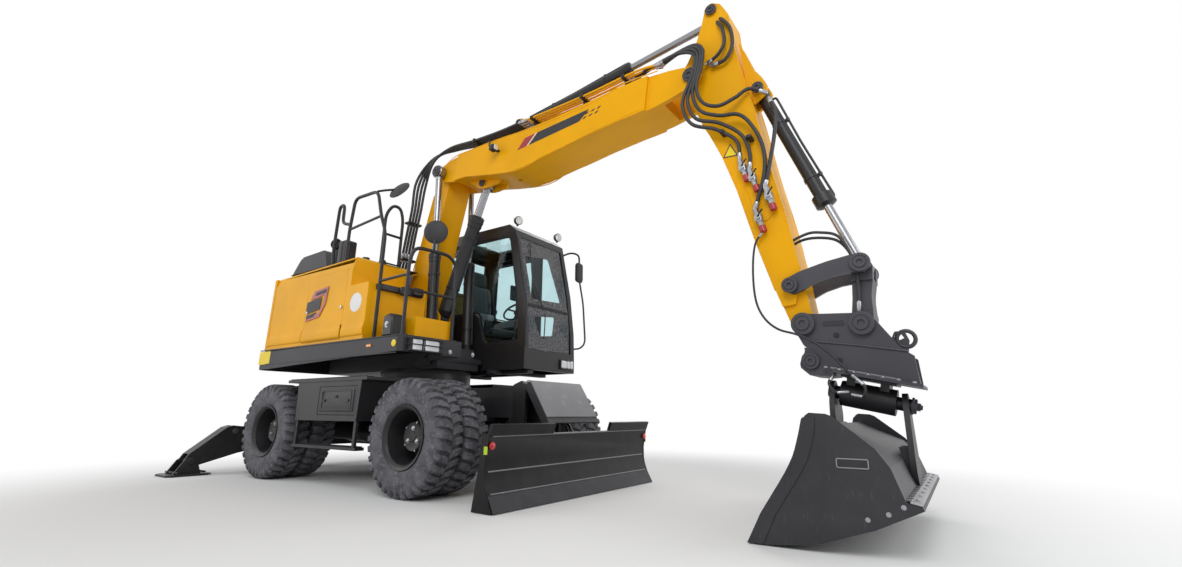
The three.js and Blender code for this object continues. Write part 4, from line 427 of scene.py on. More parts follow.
SLOTS = {name: name for name in ("yellow_paint", "black_paint", "grey_paint", "chrome_rod", "tyre_rubber",
                                 "seat_fabric")}
SLOTS["blade_black_painted_shade"] = "black_paint"


# ---------------------------------------------------------------------------------------------
# Surfaces
# ---------------------------------------------------------------------------------------------
PLANES = {"x": (1, 2, 0), "y": (0, 2, 1), "z": (0, 1, 2)}
MERGE_REACH = 2e-5
FLAT_ANGLE = 0.6
BROKEN_EDGE = 0.006
BEVEL_ANGLE = 42


def softened(points, radius=0.004, steps=3, closed=True, size=2):
    """Points, each with a radius of its own or the common one, joined by a curve at each corner:
    (1-t)^2 A + 2t(1-t) C + t^2 B, where A and B stand the radius off the corner C along its edges.
    The size is 2 in a plane and 3 in space."""
    place = np.array([p[:size] for p in points], float)
    reach = np.array([p[size] if len(p) > size else radius for p in points], float)
    back = np.roll(place, 1, axis=0) - place
    ahead = np.roll(place, -1, axis=0) - place
    arms = []
    for way in (back, ahead):
        length = np.linalg.norm(way, axis=1)
        arms.append(place + way * (np.minimum(reach, 0.45 * length) / np.maximum(length, 1e-9))[:, None])
    t = np.linspace(0, 1, steps + 1)[None, :, None]
    curve = (1 - t) ** 2 * arms[0][:, None] + 2 * t * (1 - t) * place[:, None] + t ** 2 * arms[1][:, None]
    if closed:
        return curve.reshape(-1, size)
    middle = curve[1:-1].reshape(-1, size)
    return np.vstack([place[:1], middle, place[-1:]])


def inset(loop, distance):
    """A flat loop drawn in by a distance along the mitre of each point's two edges."""
    edge = np.roll(loop, -1, axis=0) - loop
    edge /= np.maximum(np.linalg.norm(edge, axis=1), 1e-9)[:, None]
    normal = np.stack([-edge[:, 1], edge[:, 0]], axis=1)
    before = np.roll(normal, 1, axis=0)
    mitre = (normal + before) / np.maximum(1 + (normal * before).sum(1), 0.35)[:, None]
    x, z = loop.T
    turn = np.sign((x * np.roll(z, -1) - np.roll(x, -1) * z).sum())
    return loop + mitre * distance * turn


def axes_of(direction):
    """Two directions square to a given one, and that direction at unit length."""
    along = np.array(direction, float)
    along /= np.linalg.norm(along)
    helper = np.array([0, 0, 1.0]) if abs(along[2]) < 0.9 else np.array([0, 1.0, 0])
    first = np.cross(helper, along)
    first /= np.linalg.norm(first)
    return first, np.cross(along, first), along


class Form:
    """One piece's points and faces, gathered from closed surfaces."""

    def __init__(self):
        self.points = []
        self.faces = []
        self.total = 0

    def rings(self, rings, looped=False):
        """A body through rings (n, m, 3). Its end rings are capped, or joined when it is looped."""
        rings = np.asarray(rings, float)
        count, around = rings.shape[:2]
        rows = np.arange(count if looped else count - 1)[:, None]
        cols = np.arange(around)[None, :]
        ahead, beside = (rows + 1) % count, (cols + 1) % around
        quads = np.stack([rows * around + cols, rows * around + beside, ahead * around + beside,
                          ahead * around + cols], axis=-1).reshape(-1, 4)
        self.faces += (quads + self.total).tolist()
        if not looped:
            self.faces.append((np.arange(around)[::-1] + self.total).tolist())
            self.faces.append((np.arange(around) + (count - 1) * around + self.total).tolist())
        self.points.append(rings.reshape(-1, 3))
        self.total += count * around
        return self

    def layers(self, outlines, axis, looped=False):
        """A body through flat outlines, each at its own level along an axis."""
        first, second, third = PLANES[axis]
        rings = np.zeros((len(outlines), len(outlines[0][0]), 3))
        for ring, (flat, level) in zip(rings, outlines):
            ring[:, first], ring[:, second], ring[:, third] = flat[:, 0], flat[:, 1], level
        return self.rings(rings, looped=looped)

    def plate(self, loop, low, high, axis="y", edge=0.004):
        """A flat outline given thickness along an axis, its two faces drawn in by a bevel."""
        low, high = min(low, high), max(low, high)
        edge = min(edge, 0.45 * (high - low))
        small = inset(loop, edge)
        return self.layers(((small, low), (loop, low + edge), (loop, high - edge), (small, high)), axis)

    def border(self, loop, width, low, high):
        """A frame flat on a side face: the outline, and the same outline drawn in by its width."""
        small = inset(loop, width)
        return self.layers(((loop, low), (loop, high), (small, high), (small, low)), "y", True)

    def brick(self, x, y, z, edge=0.004):
        """A box between three pairs of numbers."""
        loop = np.array([(x[0], y[0]), (x[1], y[0]), (x[1], y[1]), (x[0], y[1])], float)
        return self.plate(softened(loop, edge, 2), z[0], z[1], "z", edge)

    def turned(self, profile, foot, along, sides=32, looped=False):
        """A profile of (radius, height) pairs turned about the line from foot along a direction."""
        profile = np.array(profile, float)
        first, second, third = axes_of(along)
        angle = np.linspace(0, 2 * math.pi, sides, endpoint=False)
        spoke = np.cos(angle)[:, None] * first + np.sin(angle)[:, None] * second
        rings = np.array(foot, float) + profile[:, 1, None, None] * third
        return self.rings(rings + profile[:, 0, None, None] * spoke[None], looped=looped)

    def rod(self, start, stop, radius, sides=20, edge=0.002):
        """A round bar with a small bevel at both ends."""
        start, stop = np.array(start, float), np.array(stop, float)
        length = np.linalg.norm(stop - start)
        profile = [(radius - edge, 0), (radius, edge), (radius, length - edge), (radius - edge, length)]
        return self.turned(profile, start, stop - start, sides)

    def bolt(self, foot, along, radius=0.012, height=0.010):
        """A hexagon head on a washer."""
        self.turned([(radius * 1.45, 0), (radius * 1.45, height * 0.22), (radius, height * 0.24)],
                    foot, along, 16)
        return self.turned([(radius, height * 0.2), (radius, height * 0.85), (radius * 0.82, height)],
                           foot, along, 6)

    def pipe(self, path, radius, sides=10):
        """A round section carried along a path. Each ring keeps the last one's direction, made square
        to its own heading, so the section doesn't twist."""
        path = np.array(path, float)
        heading = np.gradient(path, axis=0)
        heading /= np.linalg.norm(heading, axis=1)[:, None]
        aside = axes_of(heading[0])[0]
        frames = []
        for ahead in heading:
            aside = aside - ahead * aside.dot(ahead)
            aside /= np.linalg.norm(aside)
            frames.append((aside, np.cross(ahead, aside)))
        frames = np.array(frames)
        angle = np.linspace(0, 2 * math.pi, sides, endpoint=False)
        ring = (np.cos(angle)[None, :, None] * frames[:, None, 0]
                + np.sin(angle)[None, :, None] * frames[:, None, 1])
        return self.rings(path[:, None] + radius * ring)

    def bent(self, points, radius, corner=0.06, sides=10):
        """A tube bent round its corners, as a handrail is."""
        return self.pipe(softened(points, corner, 5, closed=False, size=3), radius, sides)


def smooth_path(points, per_span=6):
    """A Catmull-Rom curve through points: each span is the cubic whose end slopes are half the chord
    between the points on either side."""
    points = np.array(points, float)
    ends = np.vstack([2 * points[0] - points[1], points, 2 * points[-1] - points[-2]])
    t = np.linspace(0, 1, per_span, endpoint=False)[None, :, None]
    p0, p1, p2, p3 = (ends[i:len(ends) - 3 + i, None] for i in range(4))
    spans = 0.5 * (2 * p1 + (p2 - p0) * t + (2 * p0 - 5 * p1 + 4 * p2 - p3) * t ** 2
                   + (3 * p1 - p0 - 3 * p2 + p3) * t ** 3)
    return np.vstack([spans.reshape(-1, 3), points[-1:]])


def finished(mesh, name, material, sharp=34):
    """Faces turned outwards, smooth up to the sharp angle, with the finish on."""
    work = bmesh.new()
    work.from_mesh(mesh)
    bmesh.ops.recalc_face_normals(work, faces=work.faces)
    work.to_mesh(mesh)
    work.free()
    mesh.polygons.foreach_set("use_smooth", np.ones(len(mesh.polygons), bool))
    mesh.set_sharp_from_angle(angle=math.radians(sharp))
    mesh.materials.append(material)
    made = bpy.data.objects.new(name, mesh)
    bpy.context.scene.collection.objects.link(made)
    return made


def shaped(name, form, material, sharp):
    """A form's points and faces as an object, shifted into the frame's row."""
    mesh = bpy.data.meshes.new(name)
    mesh.from_pydata((np.vstack(form.points) + TO_ROW).tolist(), [], form.faces)
    return finished(mesh, name, material, sharp)


def settled(made, body, replaces):
    """The object on its body, standing for the nodes it replaces."""
    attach(made, body)
    if replaces:
        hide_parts(*replaces)
    return made


def piece(name, form, material, body, replaces=(), sharp=34):
    """A named piece from a form, riding on a body and standing for the CAD nodes it replaces."""
    return settled(shaped(name, form, material, sharp), body, replaces)


def dressed(node, material):
    """A copy of a CAD node with its loose triangles merged and its edges broken by a bevel."""
    mesh = frame["nodes"][node].data.copy()
    mesh.materials.clear()
    work = bmesh.new()
    work.from_mesh(mesh)
    bmesh.ops.remove_doubles(work, verts=work.verts, dist=MERGE_REACH)
    bmesh.ops.dissolve_limit(work, angle_limit=math.radians(FLAT_ANGLE), verts=work.verts, edges=work.edges)
    work.to_mesh(mesh)
    work.free()
    made = finished(mesh, "dressed_" + node, material, 40)
    bevel = made.modifiers.new("broken_edges", "BEVEL")
    bevel.width = BROKEN_EDGE
    bevel.segments = 2
    bevel.limit_method = "ANGLE"
    bevel.angle_limit = math.radians(BEVEL_ANGLE)
    bevel.harden_normals = True
    return settled(made, BODY_OF[node], (node,))


# ---------------------------------------------------------------------------------------------
# CAD nodes that keep their shape
# ---------------------------------------------------------------------------------------------
KEPT = {
    YELLOW: ("engine_housing", "counterweight", "service_door_left", "service_door_right", "front_toolbox",
             "lower_boom", "upper_boom", "stick"),
    BLACK: ("chassis_frame", "tool_box_left", "tool_box_right", "tool_box_door_left", "tool_box_door_right",
            "front_axle", "rear_axle", "knuckle_left", "knuckle_right", "outrigger_leg_left",
            "outrigger_leg_right", "outrigger_pad_left", "outrigger_pad_right", "outrigger_barrel_left",
            "outrigger_barrel_right", "cab_shell", "cab_door", "tilt_actuator"),
    BLADE_SHADED_BLACK: ("dozer_blade",),
    SATIN: ("upper_frame", "engine_hood"),
    GREY: ("rocker", "link", "coupler", "engine_block"),
    STEEL: ("bucket",),
    CHROME: ("outrigger_rod_left", "outrigger_rod_right"),
}
for material, nodes in KEPT.items():
    for node in nodes:
        dressed(node, material)


# ---------------------------------------------------------------------------------------------
# Wheels
# ---------------------------------------------------------------------------------------------
LUGS = 34
CARCASS = [(0.268, 0.100), (0.300, 0.124), (0.350, 0.137), (0.410, 0.139), (0.455, 0.134), (0.486, 0.124),
           (0.500, 0.100), (0.505, 0.050), (0.506, 0.0)]
LUG_LINE = [(0.530, 0.004, -0.4), (0.530, 0.034, 1.5), (0.530, 0.066, 2.4), (0.529, 0.100, 3.0),
            (0.520, 0.124, 3.4), (0.497, 0.1385, 3.5), (0.462, 0.1395, 3.5), (0.446, 0.1375, 3.5)]


LUG_HALF_ANGLE = np.array([2.6, 2.7, 2.8, 2.8, 2.7, 2.4, 2.2, 1.9])
LUG_SINK = np.array([0.030, 0.030, 0.030, 0.032, 0.030, 0.026, 0.020, 0.012])
LUG_SHOULDER = np.array([0, 0, 0, 0, 0.4, 1, 1, 1])


def tyre(form, centre, side):
    """A carcass turned from its half section and its mirror image, and two rows of lugs. A lug's
    ring of four points is carried along (radius, offset, degrees): it crosses the tread at a slant
    and wraps over the shoulder. The far row is the near one mirrored and set on by half a pitch."""
    half = np.array(CARCASS)
    bore = np.array([(0.256, 0.085), (0.256, 0.0)])
    near = np.vstack([bore[::-1], half])
    far = near[::-1] * (1, -1)
    form.turned(np.vstack([near, far[1:-1]]), centre, (0, side, 0), 72, looped=True)
    line = np.array(LUG_LINE)
    pitch = 360 / LUGS
    spread = LUG_HALF_ANGLE[:, None] * np.array([-1.35, -1.0, 1.0, 1.35])
    depth = np.array([1.0, 0.0, 0.0, 1.0])
    inward = LUG_SINK[:, None] * depth * (1 - 0.75 * LUG_SHOULDER)[:, None]
    sideways = LUG_SINK[:, None] * depth * LUG_SHOULDER[:, None]
    for row in (1, -1):
        start = np.arange(LUGS)[:, None, None] * pitch + (0 if row > 0 else pitch / 2)
        angle = np.radians(start + line[None, :, 2, None] + spread)
        radius = np.broadcast_to(line[:, 0, None] - inward, angle.shape)
        offset = np.broadcast_to(line[:, 1, None] - sideways, angle.shape)
        points = np.stack([centre[0] + radius * np.cos(angle), centre[1] + side * row * offset,
                           centre[2] + radius * np.sin(angle)], axis=-1)
        for lug in points:
            form.rings(lug)


def rim(form, centre, side, deep):
    """A pressed rim: bead seats, a barrel and a disc, one closed profile turned about the axle."""
    face = [(0.120, -0.150), (0.205, -0.142), (0.232, -0.108), (0.238, -0.030), (0.240, 0.030),
            (0.250, 0.072), (0.252, 0.098), (0.270, 0.112), (0.284, 0.118), (0.290, 0.126)]
    back = [(0.286, 0.134), (0.268, 0.128), (0.256, 0.116), (0.244, 0.104), (0.240, 0.078),
            (0.230, 0.032), (0.228, -0.030), (0.222, -0.100), (0.200, -0.130), (0.120, -0.137)]
    flat = np.array(face + back) * ((1, 1) if deep else (1, -1))
    form.turned(flat, centre, (0, side, 0), 56, looped=True)
    for lip in ([(0.262, -0.128), (0.286, -0.118), (0.286, -0.132), (0.262, -0.136)],
                [(0.236, -0.130), (0.256, -0.128), (0.252, 0.10), (0.244, 0.10)]):
        form.turned(lip, centre, (0, side * (1 if deep else -1), 0), 56, looped=True)


def hub(form, bolts, centre, side):
    """The planetary hub in the deep dish, its flange nuts and the plugs on its cap."""
    out = np.array([0, side, 0.0])
    form.turned([(0.176, -0.150), (0.176, -0.128), (0.150, -0.122), (0.150, -0.050), (0.142, -0.040),
                 (0.134, -0.034), (0.134, 0.004), (0.124, 0.014), (0.116, 0.010), (0.050, 0.012),
                 (0.044, 0.020), (0.020, 0.021)], centre, out, 48)
    angle = np.radians(np.arange(10) * 36.0)
    ring = np.stack([np.cos(angle), 0 * angle, np.sin(angle)], axis=1)
    for spoke in ring:
        bolts.bolt(centre + spoke * 0.190 - out * 0.138, out, 0.014, 0.026)
    for spoke in ring[::2]:
        bolts.bolt(centre + spoke * 0.128 + out * 0.004, out, 0.008, 0.010)
    for turn in (90, 210, 330):
        spoke = np.array([math.cos(math.radians(turn)), 0, math.sin(math.radians(turn))])
        bolts.bolt(centre + spoke * 0.074 + out * 0.010, out, 0.015, 0.016)
        form.brick(*np.sort(np.stack([centre + spoke * 0.02 - 0.006, centre + spoke * 0.105 + 0.006]), 0).T)


for end, axle_x in AXLES.items():
    for hand, side in SIDES.items():
        name = f"{end}_{hand}"
        tyres, rims, nuts = Form(), Form(), Form()
        for level, y in enumerate(TWIN):
            centre = np.array([axle_x, side * y, TYRE_RADIUS])
            tyre(tyres, centre, side)
            rim(rims, centre, side, level == 0)
        outer = np.array([axle_x, side * TWIN[0], TYRE_RADIUS])
        hub(rims, nuts, outer, side)
        body = BODY_OF["wheel_" + name]
        piece("tyre_pair_" + name, tyres, RUBBER, body, ("tyres_" + name,), sharp=38)
        piece("rim_pair_" + name, rims, BLACK, body, ("wheel_" + name,))
        piece("wheel_nuts_" + name, nuts, BOLT, body)


# ---------------------------------------------------------------------------------------------
# Cylinders
# ---------------------------------------------------------------------------------------------
JOINT_PIN = pin("upper_boom_raise")
STICK_PIN = pin("stick_crowd")
ROCKER_TOP = pin("link_swing")
ADJUST_EYE = np.array([0.991, BOOM_Y, 3.479])
STICK_TAIL = np.array([4.045, BOOM_Y, 4.474])
BAND_SHARES = (0.30, 0.78)
WIDE_GLAND = 1.3


def cylinder(name, eye, reach, radius, eye_radius, half, barrel_node, rod_node, neck=0.0, supply=True,
             gland=1.18, stroke=0.10):
    """A barrel turned on its centre line with weld rings and a gland nut, its base eye, the steel
    supply pipe along it, and a bright rod with its own eye. The reach runs from the base eye to the
    barrel's mouth, half is half an eye's width, and the stroke is the rod's tail inside the barrel."""
    base = pin(barrel_node + "_swing")
    eye = np.array([eye[0], base[1], eye[2]])
    way = eye - base
    length = np.linalg.norm(way)
    way /= length
    start = max(neck, eye_radius * 0.9)
    swell = 1.10 if gland < WIDE_GLAND else 1.75
    barrel = Form()
    barrel.turned([(radius * 0.80, start - 0.012), (radius * 0.97, start), (radius, start + 0.010),
                   (radius, start + 0.055), (radius * 1.03, start + 0.060), (radius * 1.03, start + 0.072),
                   (radius, start + 0.076), (radius, reach - radius * 1.9),
                   (radius * 1.10, reach - radius * 1.85), (radius * 1.10, reach - radius * swell - 0.003),
                   (radius * gland, reach - radius * swell), (radius * gland, reach - radius * 0.25),
                   (radius * 1.10, reach - radius * 0.15), (radius * 0.86, reach), (radius * 0.60, reach)],
                  base, way, 40)
    barrel.rod(base + way * eye_radius * 0.5, base + way * start, min(radius, half) * 0.92)
    barrel.rod(base - (0, half, 0), base + (0, half, 0), eye_radius, 32, 0.006)
    for share in BAND_SHARES:
        place = base + way * reach * share
        barrel.turned([(radius + 0.001, -0.014), (radius + 0.006, -0.012), (radius + 0.006, 0.012),
                       (radius + 0.001, 0.014)], place, way, 40, looped=True)
    if supply:
        aside = np.cross(way, (0, 1.0, 0))
        aside *= -1 if aside[2] < 0 else 1
        offset = aside * (radius + 0.020)
        path = softened([base + way * (start + 0.06) + aside * radius * 0.9,
                         base + way * (start + 0.06) + offset * 1.15,
                         base + way * (reach * 0.5) + offset,
                         base + way * (reach - radius * 0.8) + offset * 1.1,
                         base + way * (reach - radius * 0.8) + aside * radius * 0.9], 0.03, 4, False, 3)
        barrel.pipe(path, 0.010, 8)
        for share in BAND_SHARES:
            place = base + way * reach * share + offset
            barrel.brick(*np.stack([place - 0.016, place + 0.016]).T)
    piece(name + "_barrel_tube", barrel, BLACK, BODY_OF[barrel_node], (barrel_node,))
    rod = Form()
    rod.rod(base + way * (reach - stroke), eye - way * eye_radius * 0.6, radius * 0.62, 32)
    rod.rod(eye - (0, half * 0.95, 0), eye + (0, half * 0.95, 0), eye_radius, 32, 0.006)
    collar = max(min(radius * 0.95, half * 0.97), radius * 0.66)
    rod.turned([(radius * 0.64, 0), (collar * 0.85, 0.012), (collar, eye_radius * 0.5)],
               eye - way * (eye_radius + 0.035), way, 28)
    piece(name + "_rod_shaft", rod, CHROME, BODY_OF[rod_node], (rod_node,))


for hand in SIDES:
    cylinder("lift_" + hand, JOINT_PIN, 1.24, 0.062, 0.084, 0.046, "lift_barrel_" + hand,
             "lift_rod_" + hand, neck=0.11)
    cylinder("blade_" + hand, (2.235, 0, 0.420), 0.43, 0.048, 0.042, 0.026, "blade_barrel_" + hand,
             "blade_rod_" + hand, supply=False, stroke=0.06)
cylinder("adjust", ADJUST_EYE, 1.35, 0.080, 0.066, 0.056, "boom_adjust_barrel", "boom_adjust_rod",
         stroke=0.60)
cylinder("stick", STICK_TAIL, 1.53, 0.060, 0.066, 0.056, "stick_barrel", "stick_rod", stroke=0.36)
cylinder("bucket", ROCKER_TOP, 1.25, 0.056, 0.062, 0.050, "bucket_barrel", "bucket_rod", gland=1.48,
         stroke=0.52)


# ---------------------------------------------------------------------------------------------
# Handrails and mirrors
# ---------------------------------------------------------------------------------------------
def handrails():
    """Bent tubes round the deck and the housing, on the CAD node's own routes, and the round mirrors."""
    rail, thin = 0.019, 0.015
    y, front, deck, top = -1.150, 1.050, 1.481, 2.441
    form = Form()
    form.bent([(0.540, y, deck), (0.540, y, 2.650), (0.425, y, 2.870), (0.312, y, 3.190),
               (-0.130, y, 3.200), (-0.178, y, 2.800), (-0.169, y, top + 0.003)], rail, 0.09)
    form.bent([(-0.178, y, 2.817), (0.130, y, 2.842), (0.425, y, 2.865)], thin)
    form.bent([(-0.450, y + 0.004, top - 0.006), (-0.470, y, 2.640), (-0.450, y, 3.170), (-0.350, y, 3.170),
               (-0.345, y, 2.930), (-0.172, y, 2.880)], rail, 0.07)
    form.bent([(0.100, -0.880, top), (0.100, -0.880, 3.040), (0.100, -0.800, 3.180), (0.100, -0.690, 3.180),
               (0.100, -0.640, 3.040), (0.100, -0.640, top)], rail, 0.08)
    form.bent([(0.100, -0.880, 2.800), (0.100, -0.760, 2.800), (0.100, -0.640, 2.800)], thin)
    form.bent([(front, -1.178, deck), (front, -1.178, 2.250), (front, -1.120, 2.400), (front, -0.680, 2.420),
               (front, -0.560, 2.330), (front, -0.560, deck)], rail, 0.09)
    form.bent([(front, -1.178, 1.950), (front, -0.870, 1.950), (front, -0.560, 1.950)], thin)
    form.bent([(0.540, y, 2.100), (0.800, -1.164, 2.100), (front, -1.178, 2.100)], thin)
    form.brick((0.080, 0.120), (-0.900, -0.620), (top + 0.001, top + 0.012))
    form.bent([(0.300, y, 3.190), (0.400, -1.100, 3.200), (0.520, -1.026, 3.205)], 0.013)
    form.bent([(front, -0.885, 2.410), (front, -0.885, 2.500), (front, -0.885, 2.600)], thin)
    for foot_x, foot_y in ((0.540, y), (front, -1.178), (front, -0.560)):
        form.brick((foot_x - 0.045, foot_x + 0.045), (foot_y - 0.030, foot_y + 0.030), (deck, deck + 0.012))
    piece("handrail_tubes", form, BLACK, BODY_OF["handrails"], ("handrails",))
    backs, glasses = Form(), Form()
    for place, out in (((0.525, -1.026, 3.200), (-0.10, 0.85, -0.51)),
                       ((1.055, -0.885, 2.630), (-0.60, 0.78, 0.10))):
        place, out = np.array(place), np.array(out) / np.linalg.norm(out)
        backs.turned([(0.118, -0.002), (0.128, 0.002), (0.130, -0.008), (0.115, -0.020), (0.060, -0.034),
                      (0.020, -0.038)], place + out * 0.010, out, 40)
        glasses.turned([(0.117, 0.0), (0.117, 0.003), (0.100, 0.0045), (0.020, 0.006)], place + out * 0.009,
                       out, 40)
    piece("mirror_backs", backs, PLASTIC, "upper")
    piece("mirror_glasses", glasses, MIRROR, "upper")


handrails()


# ---------------------------------------------------------------------------------------------
# House: panels, louvres, lamps, marks and deck
# ---------------------------------------------------------------------------------------------
def mark(form, points, y, lift=0.0012):
    """A thin flat mark on a side face; the lift's sign says which way the face looks."""
    return form.plate(softened(points, 0.004, 2), y, y + lift, "y", 0.0003)


def house_panels():
    """The pressed belt along the foot of each side panel."""
    right = (("upper", -1.545, -0.766), ("service_door_right", -0.738, 0.036), ("upper", 0.048, 0.455))
    left = (("upper", -1.545, -1.390), ("upper", -0.410, 0.110))
    for hand, side, spans in (("right", -1, right), ("left", 1, left)):
        for index, (body, x0, x1) in enumerate(spans):
            wall = 1.2285 if body == "upper" else 1.2365
            section = ((wall - 0.004, 1.515, 0.004), (wall + 0.013, 1.530, 0.02), (wall + 0.016, 1.600, 0.02),
                       (wall - 0.004, 1.665, 0.004))
            belt = softened([(side * y, z, radius) for y, z, radius in section], 0.004, 3)
            piece(f"panel_belt_{hand}_{index}", Form().plate(belt, x0, x1, "x", 0.006), YELLOW, body)


def louvres():
    """Slatted air vents on the left door and the hood."""
    door, hood = Form(), Form()
    for z in np.arange(1.72, 2.20, 0.034):
        door.plate(softened([(-1.29, z), (-0.86, z), (-0.86, z + 0.020), (-1.29, z + 0.020)], 0.008), 1.234,
                   1.243, "y", 0.003)
    for x in np.arange(-1.36, -0.94, 0.052):
        for y in (-0.74, 0.24):
            hood.plate(softened([(x, y), (x + 0.026, y), (x + 0.026, y + 0.50), (x, y + 0.50)], 0.010), 2.695,
                       2.7290, "z", 0.004)
    piece("door_louvres", door, SATIN, "service_door_left")
    piece("hood_louvres", hood, BLACK, "engine_hood")


DOOR_LOCK = [(0.018, 0), (0.018, 0.006), (0.012, 0.008)]


def house_fittings():
    """The front handle and its lock, the deck's latch box, the exhaust, fillers, door locks, the rear
    grille and the rear lamps."""
    black, bolts, chrome = Form(), Form(), Form()
    black.brick((0.4605, 0.505), (-1.140, -0.550), (2.020, 2.088), 0.008)
    black.turned([(0.052, 0), (0.052, 0.020), (0.040, 0.030)], (0.504, -0.830, 2.050), (1, 0, 0), 28)
    black.brick((0.500, 0.530), (-0.700, -0.560), (2.030, 2.120), 0.010)
    latch = softened([(0.740, 1.4815), (0.905, 1.4815), (0.900, 1.640, 0.04), (0.870, 1.720, 0.04),
                      (0.745, 1.700, 0.03)], 0.01)
    black.plate(latch, -1.205, -1.035, "y", 0.018)
    bolts.bolt((0.82, -1.205, 1.60), (0, -1, 0), 0.022, 0.014)
    black.turned([(0.066, 0), (0.070, 0.02), (0.070, 0.20), (0.060, 0.24), (0.050, 0.27), (0.015, 0.275)],
                 (-0.590, -1.000, 2.4405), (0, 0, 1), 32)
    black.turned([(0.050, -0.05), (0.066, -0.03), (0.068, 0.05), (0.058, 0.055), (0.052, 0.01), (0.01, 0.0)],
                 (-0.600, -1.030, 2.735), (0.35, -0.90, 0.10), 28)
    black.brick((-0.480, -0.330), (-1.090, -0.940), (2.4405, 2.745), 0.014)
    for x, y, radius in ((-0.060, -0.970, 0.052), (0.010, -0.790, 0.040), (-0.300, 0.620, 0.045)):
        black.turned([(radius, 0), (radius, 0.016), (radius * 0.8, 0.020), (radius * 0.8, 0.050),
                      (radius * 0.7, 0.058)], (x, y, 2.4405), (0, 0, 1), 24)
    for x in (-0.700, 0.000):
        chrome.turned(DOOR_LOCK, (x, -1.2365, 1.86), (0, -1, 0), 20)
    piece("house_black_fittings", black, BLACK, "upper")
    piece("house_bolts", bolts, BOLT, "upper")
    piece("door_locks_right", chrome, BOLT, "service_door_right")
    left = Form()
    left.turned(DOOR_LOCK, (-0.47, 1.2365, 1.86), (0, 1, 0), 20)
    left.brick((-0.62, -0.52), (1.2355, 1.250), (1.835, 1.875), 0.006)
    piece("door_lock_left", left, BLACK, "service_door_left")
    rear, red = Form(), Form()
    for side in (-1, 1):
        rear.brick((-1.748, -1.732), (side * 1.02 - 0.110, side * 1.02 + 0.110), (1.500, 1.590), 0.006)
        red.brick((-1.756, -1.746), (side * 1.02 - 0.096, side * 1.02 + 0.096), (1.512, 1.578), 0.004)
        rear.turned([(0.020, -0.03), (0.026, -0.028), (0.026, 0.060), (0.018, 0.066)],
                    (-1.690, side * 0.72, 2.360), (0, 0, 1), 20)
    rear.brick((-1.750, -1.733), (-0.16, 0.16), (2.250, 2.330), 0.006)
    rear.turned([(0.028, 0), (0.028, 0.020), (0.020, 0.028)], (-1.750, 0, 2.29), (-1, 0, 0), 24)
    for z in np.arange(1.62, 2.02, 0.036):
        rear.brick((-1.744, -1.7335), (-0.42, 0.42), (z, z + 0.018), 0.003)
    piece("rear_fittings", rear, BLACK, "upper")
    piece("rear_lamps", red, RED_LAMP, "upper")


def deck_plates():
    """Ribbed anti-slip plates on the deck and along the housing's top."""
    form = Form()
    for x0, x1, y0, y1, z in ((0.58, 1.02, -1.13, -1.03, 1.4808), (-1.45, -0.60, -1.13, -0.95, 2.4400),
                              (-0.20, 0.05, -0.58, -0.30, 2.4400)):
        form.brick((x0, x1), (y0, y1), (z, z + 0.006), 0.002)
        for x in np.arange(x0 + 0.02, x1 - 0.02, 0.035):
            form.brick((x, x + 0.010), (y0 + 0.015, y1 - 0.015), (z + 0.005, z + 0.013), 0.002)
    piece("anti_slip_plates", form, SATIN, "upper")


def house_marks():
    """The bare stripe on the door, the blank round sign and the reflective patches."""
    red, black, white, yellow, amber = (Form() for _ in range(5))
    face = -1.2364
    mark(red, [(-0.660, 2.005), (-0.590, 2.105), (-0.300, 2.135), (-0.330, 1.930), (-0.430, 1.790),
               (-0.715, 1.755), (-0.700, 1.800), (-0.455, 1.835), (-0.385, 1.940), (-0.370, 2.040)],
         face, -0.001)
    for bar in ([(-0.570, 2.045), (-0.545, 2.085), (-0.330, 2.108), (-0.338, 2.062)],
                [(-0.715, 1.985), (-0.420, 2.020), (-0.440, 1.880), (-0.725, 1.845)],
                [(-0.700, 1.825), (-0.500, 1.852), (-0.545, 1.800), (-0.705, 1.782)]):
        mark(black, bar, face, -0.002)
    piece("door_stripe_red", red, RED, "service_door_right")
    piece("door_stripe_black", black, SATIN, "service_door_right")
    white.turned([(0.104, 0), (0.104, 0.0012), (0.100, 0.0016)], (0.262, -1.2283, 1.885), (0, -1, 0), 48)
    piece("round_sign", white, WHITE, "upper")
    skirt = 1.2502
    mark(yellow, [(-1.655, 1.300), (-1.390, 1.300), (-1.390, 1.455), (-1.655, 1.455)], -skirt, -0.001)
    yellow.turned([(0.034, 0), (0.034, 0.004), (0.026, 0.006)], (1.030, -skirt, 1.395), (0, -1, 0), 28)
    piece("reflective_patches", yellow, SIGN, "upper")
    for y0, y1 in ((-1.262, -skirt), (skirt, 1.262)):
        amber.brick((0.590, 0.670), (y0, y1), (1.378, 1.408), 0.006)
    piece("side_markers", amber, AMBER, "upper")


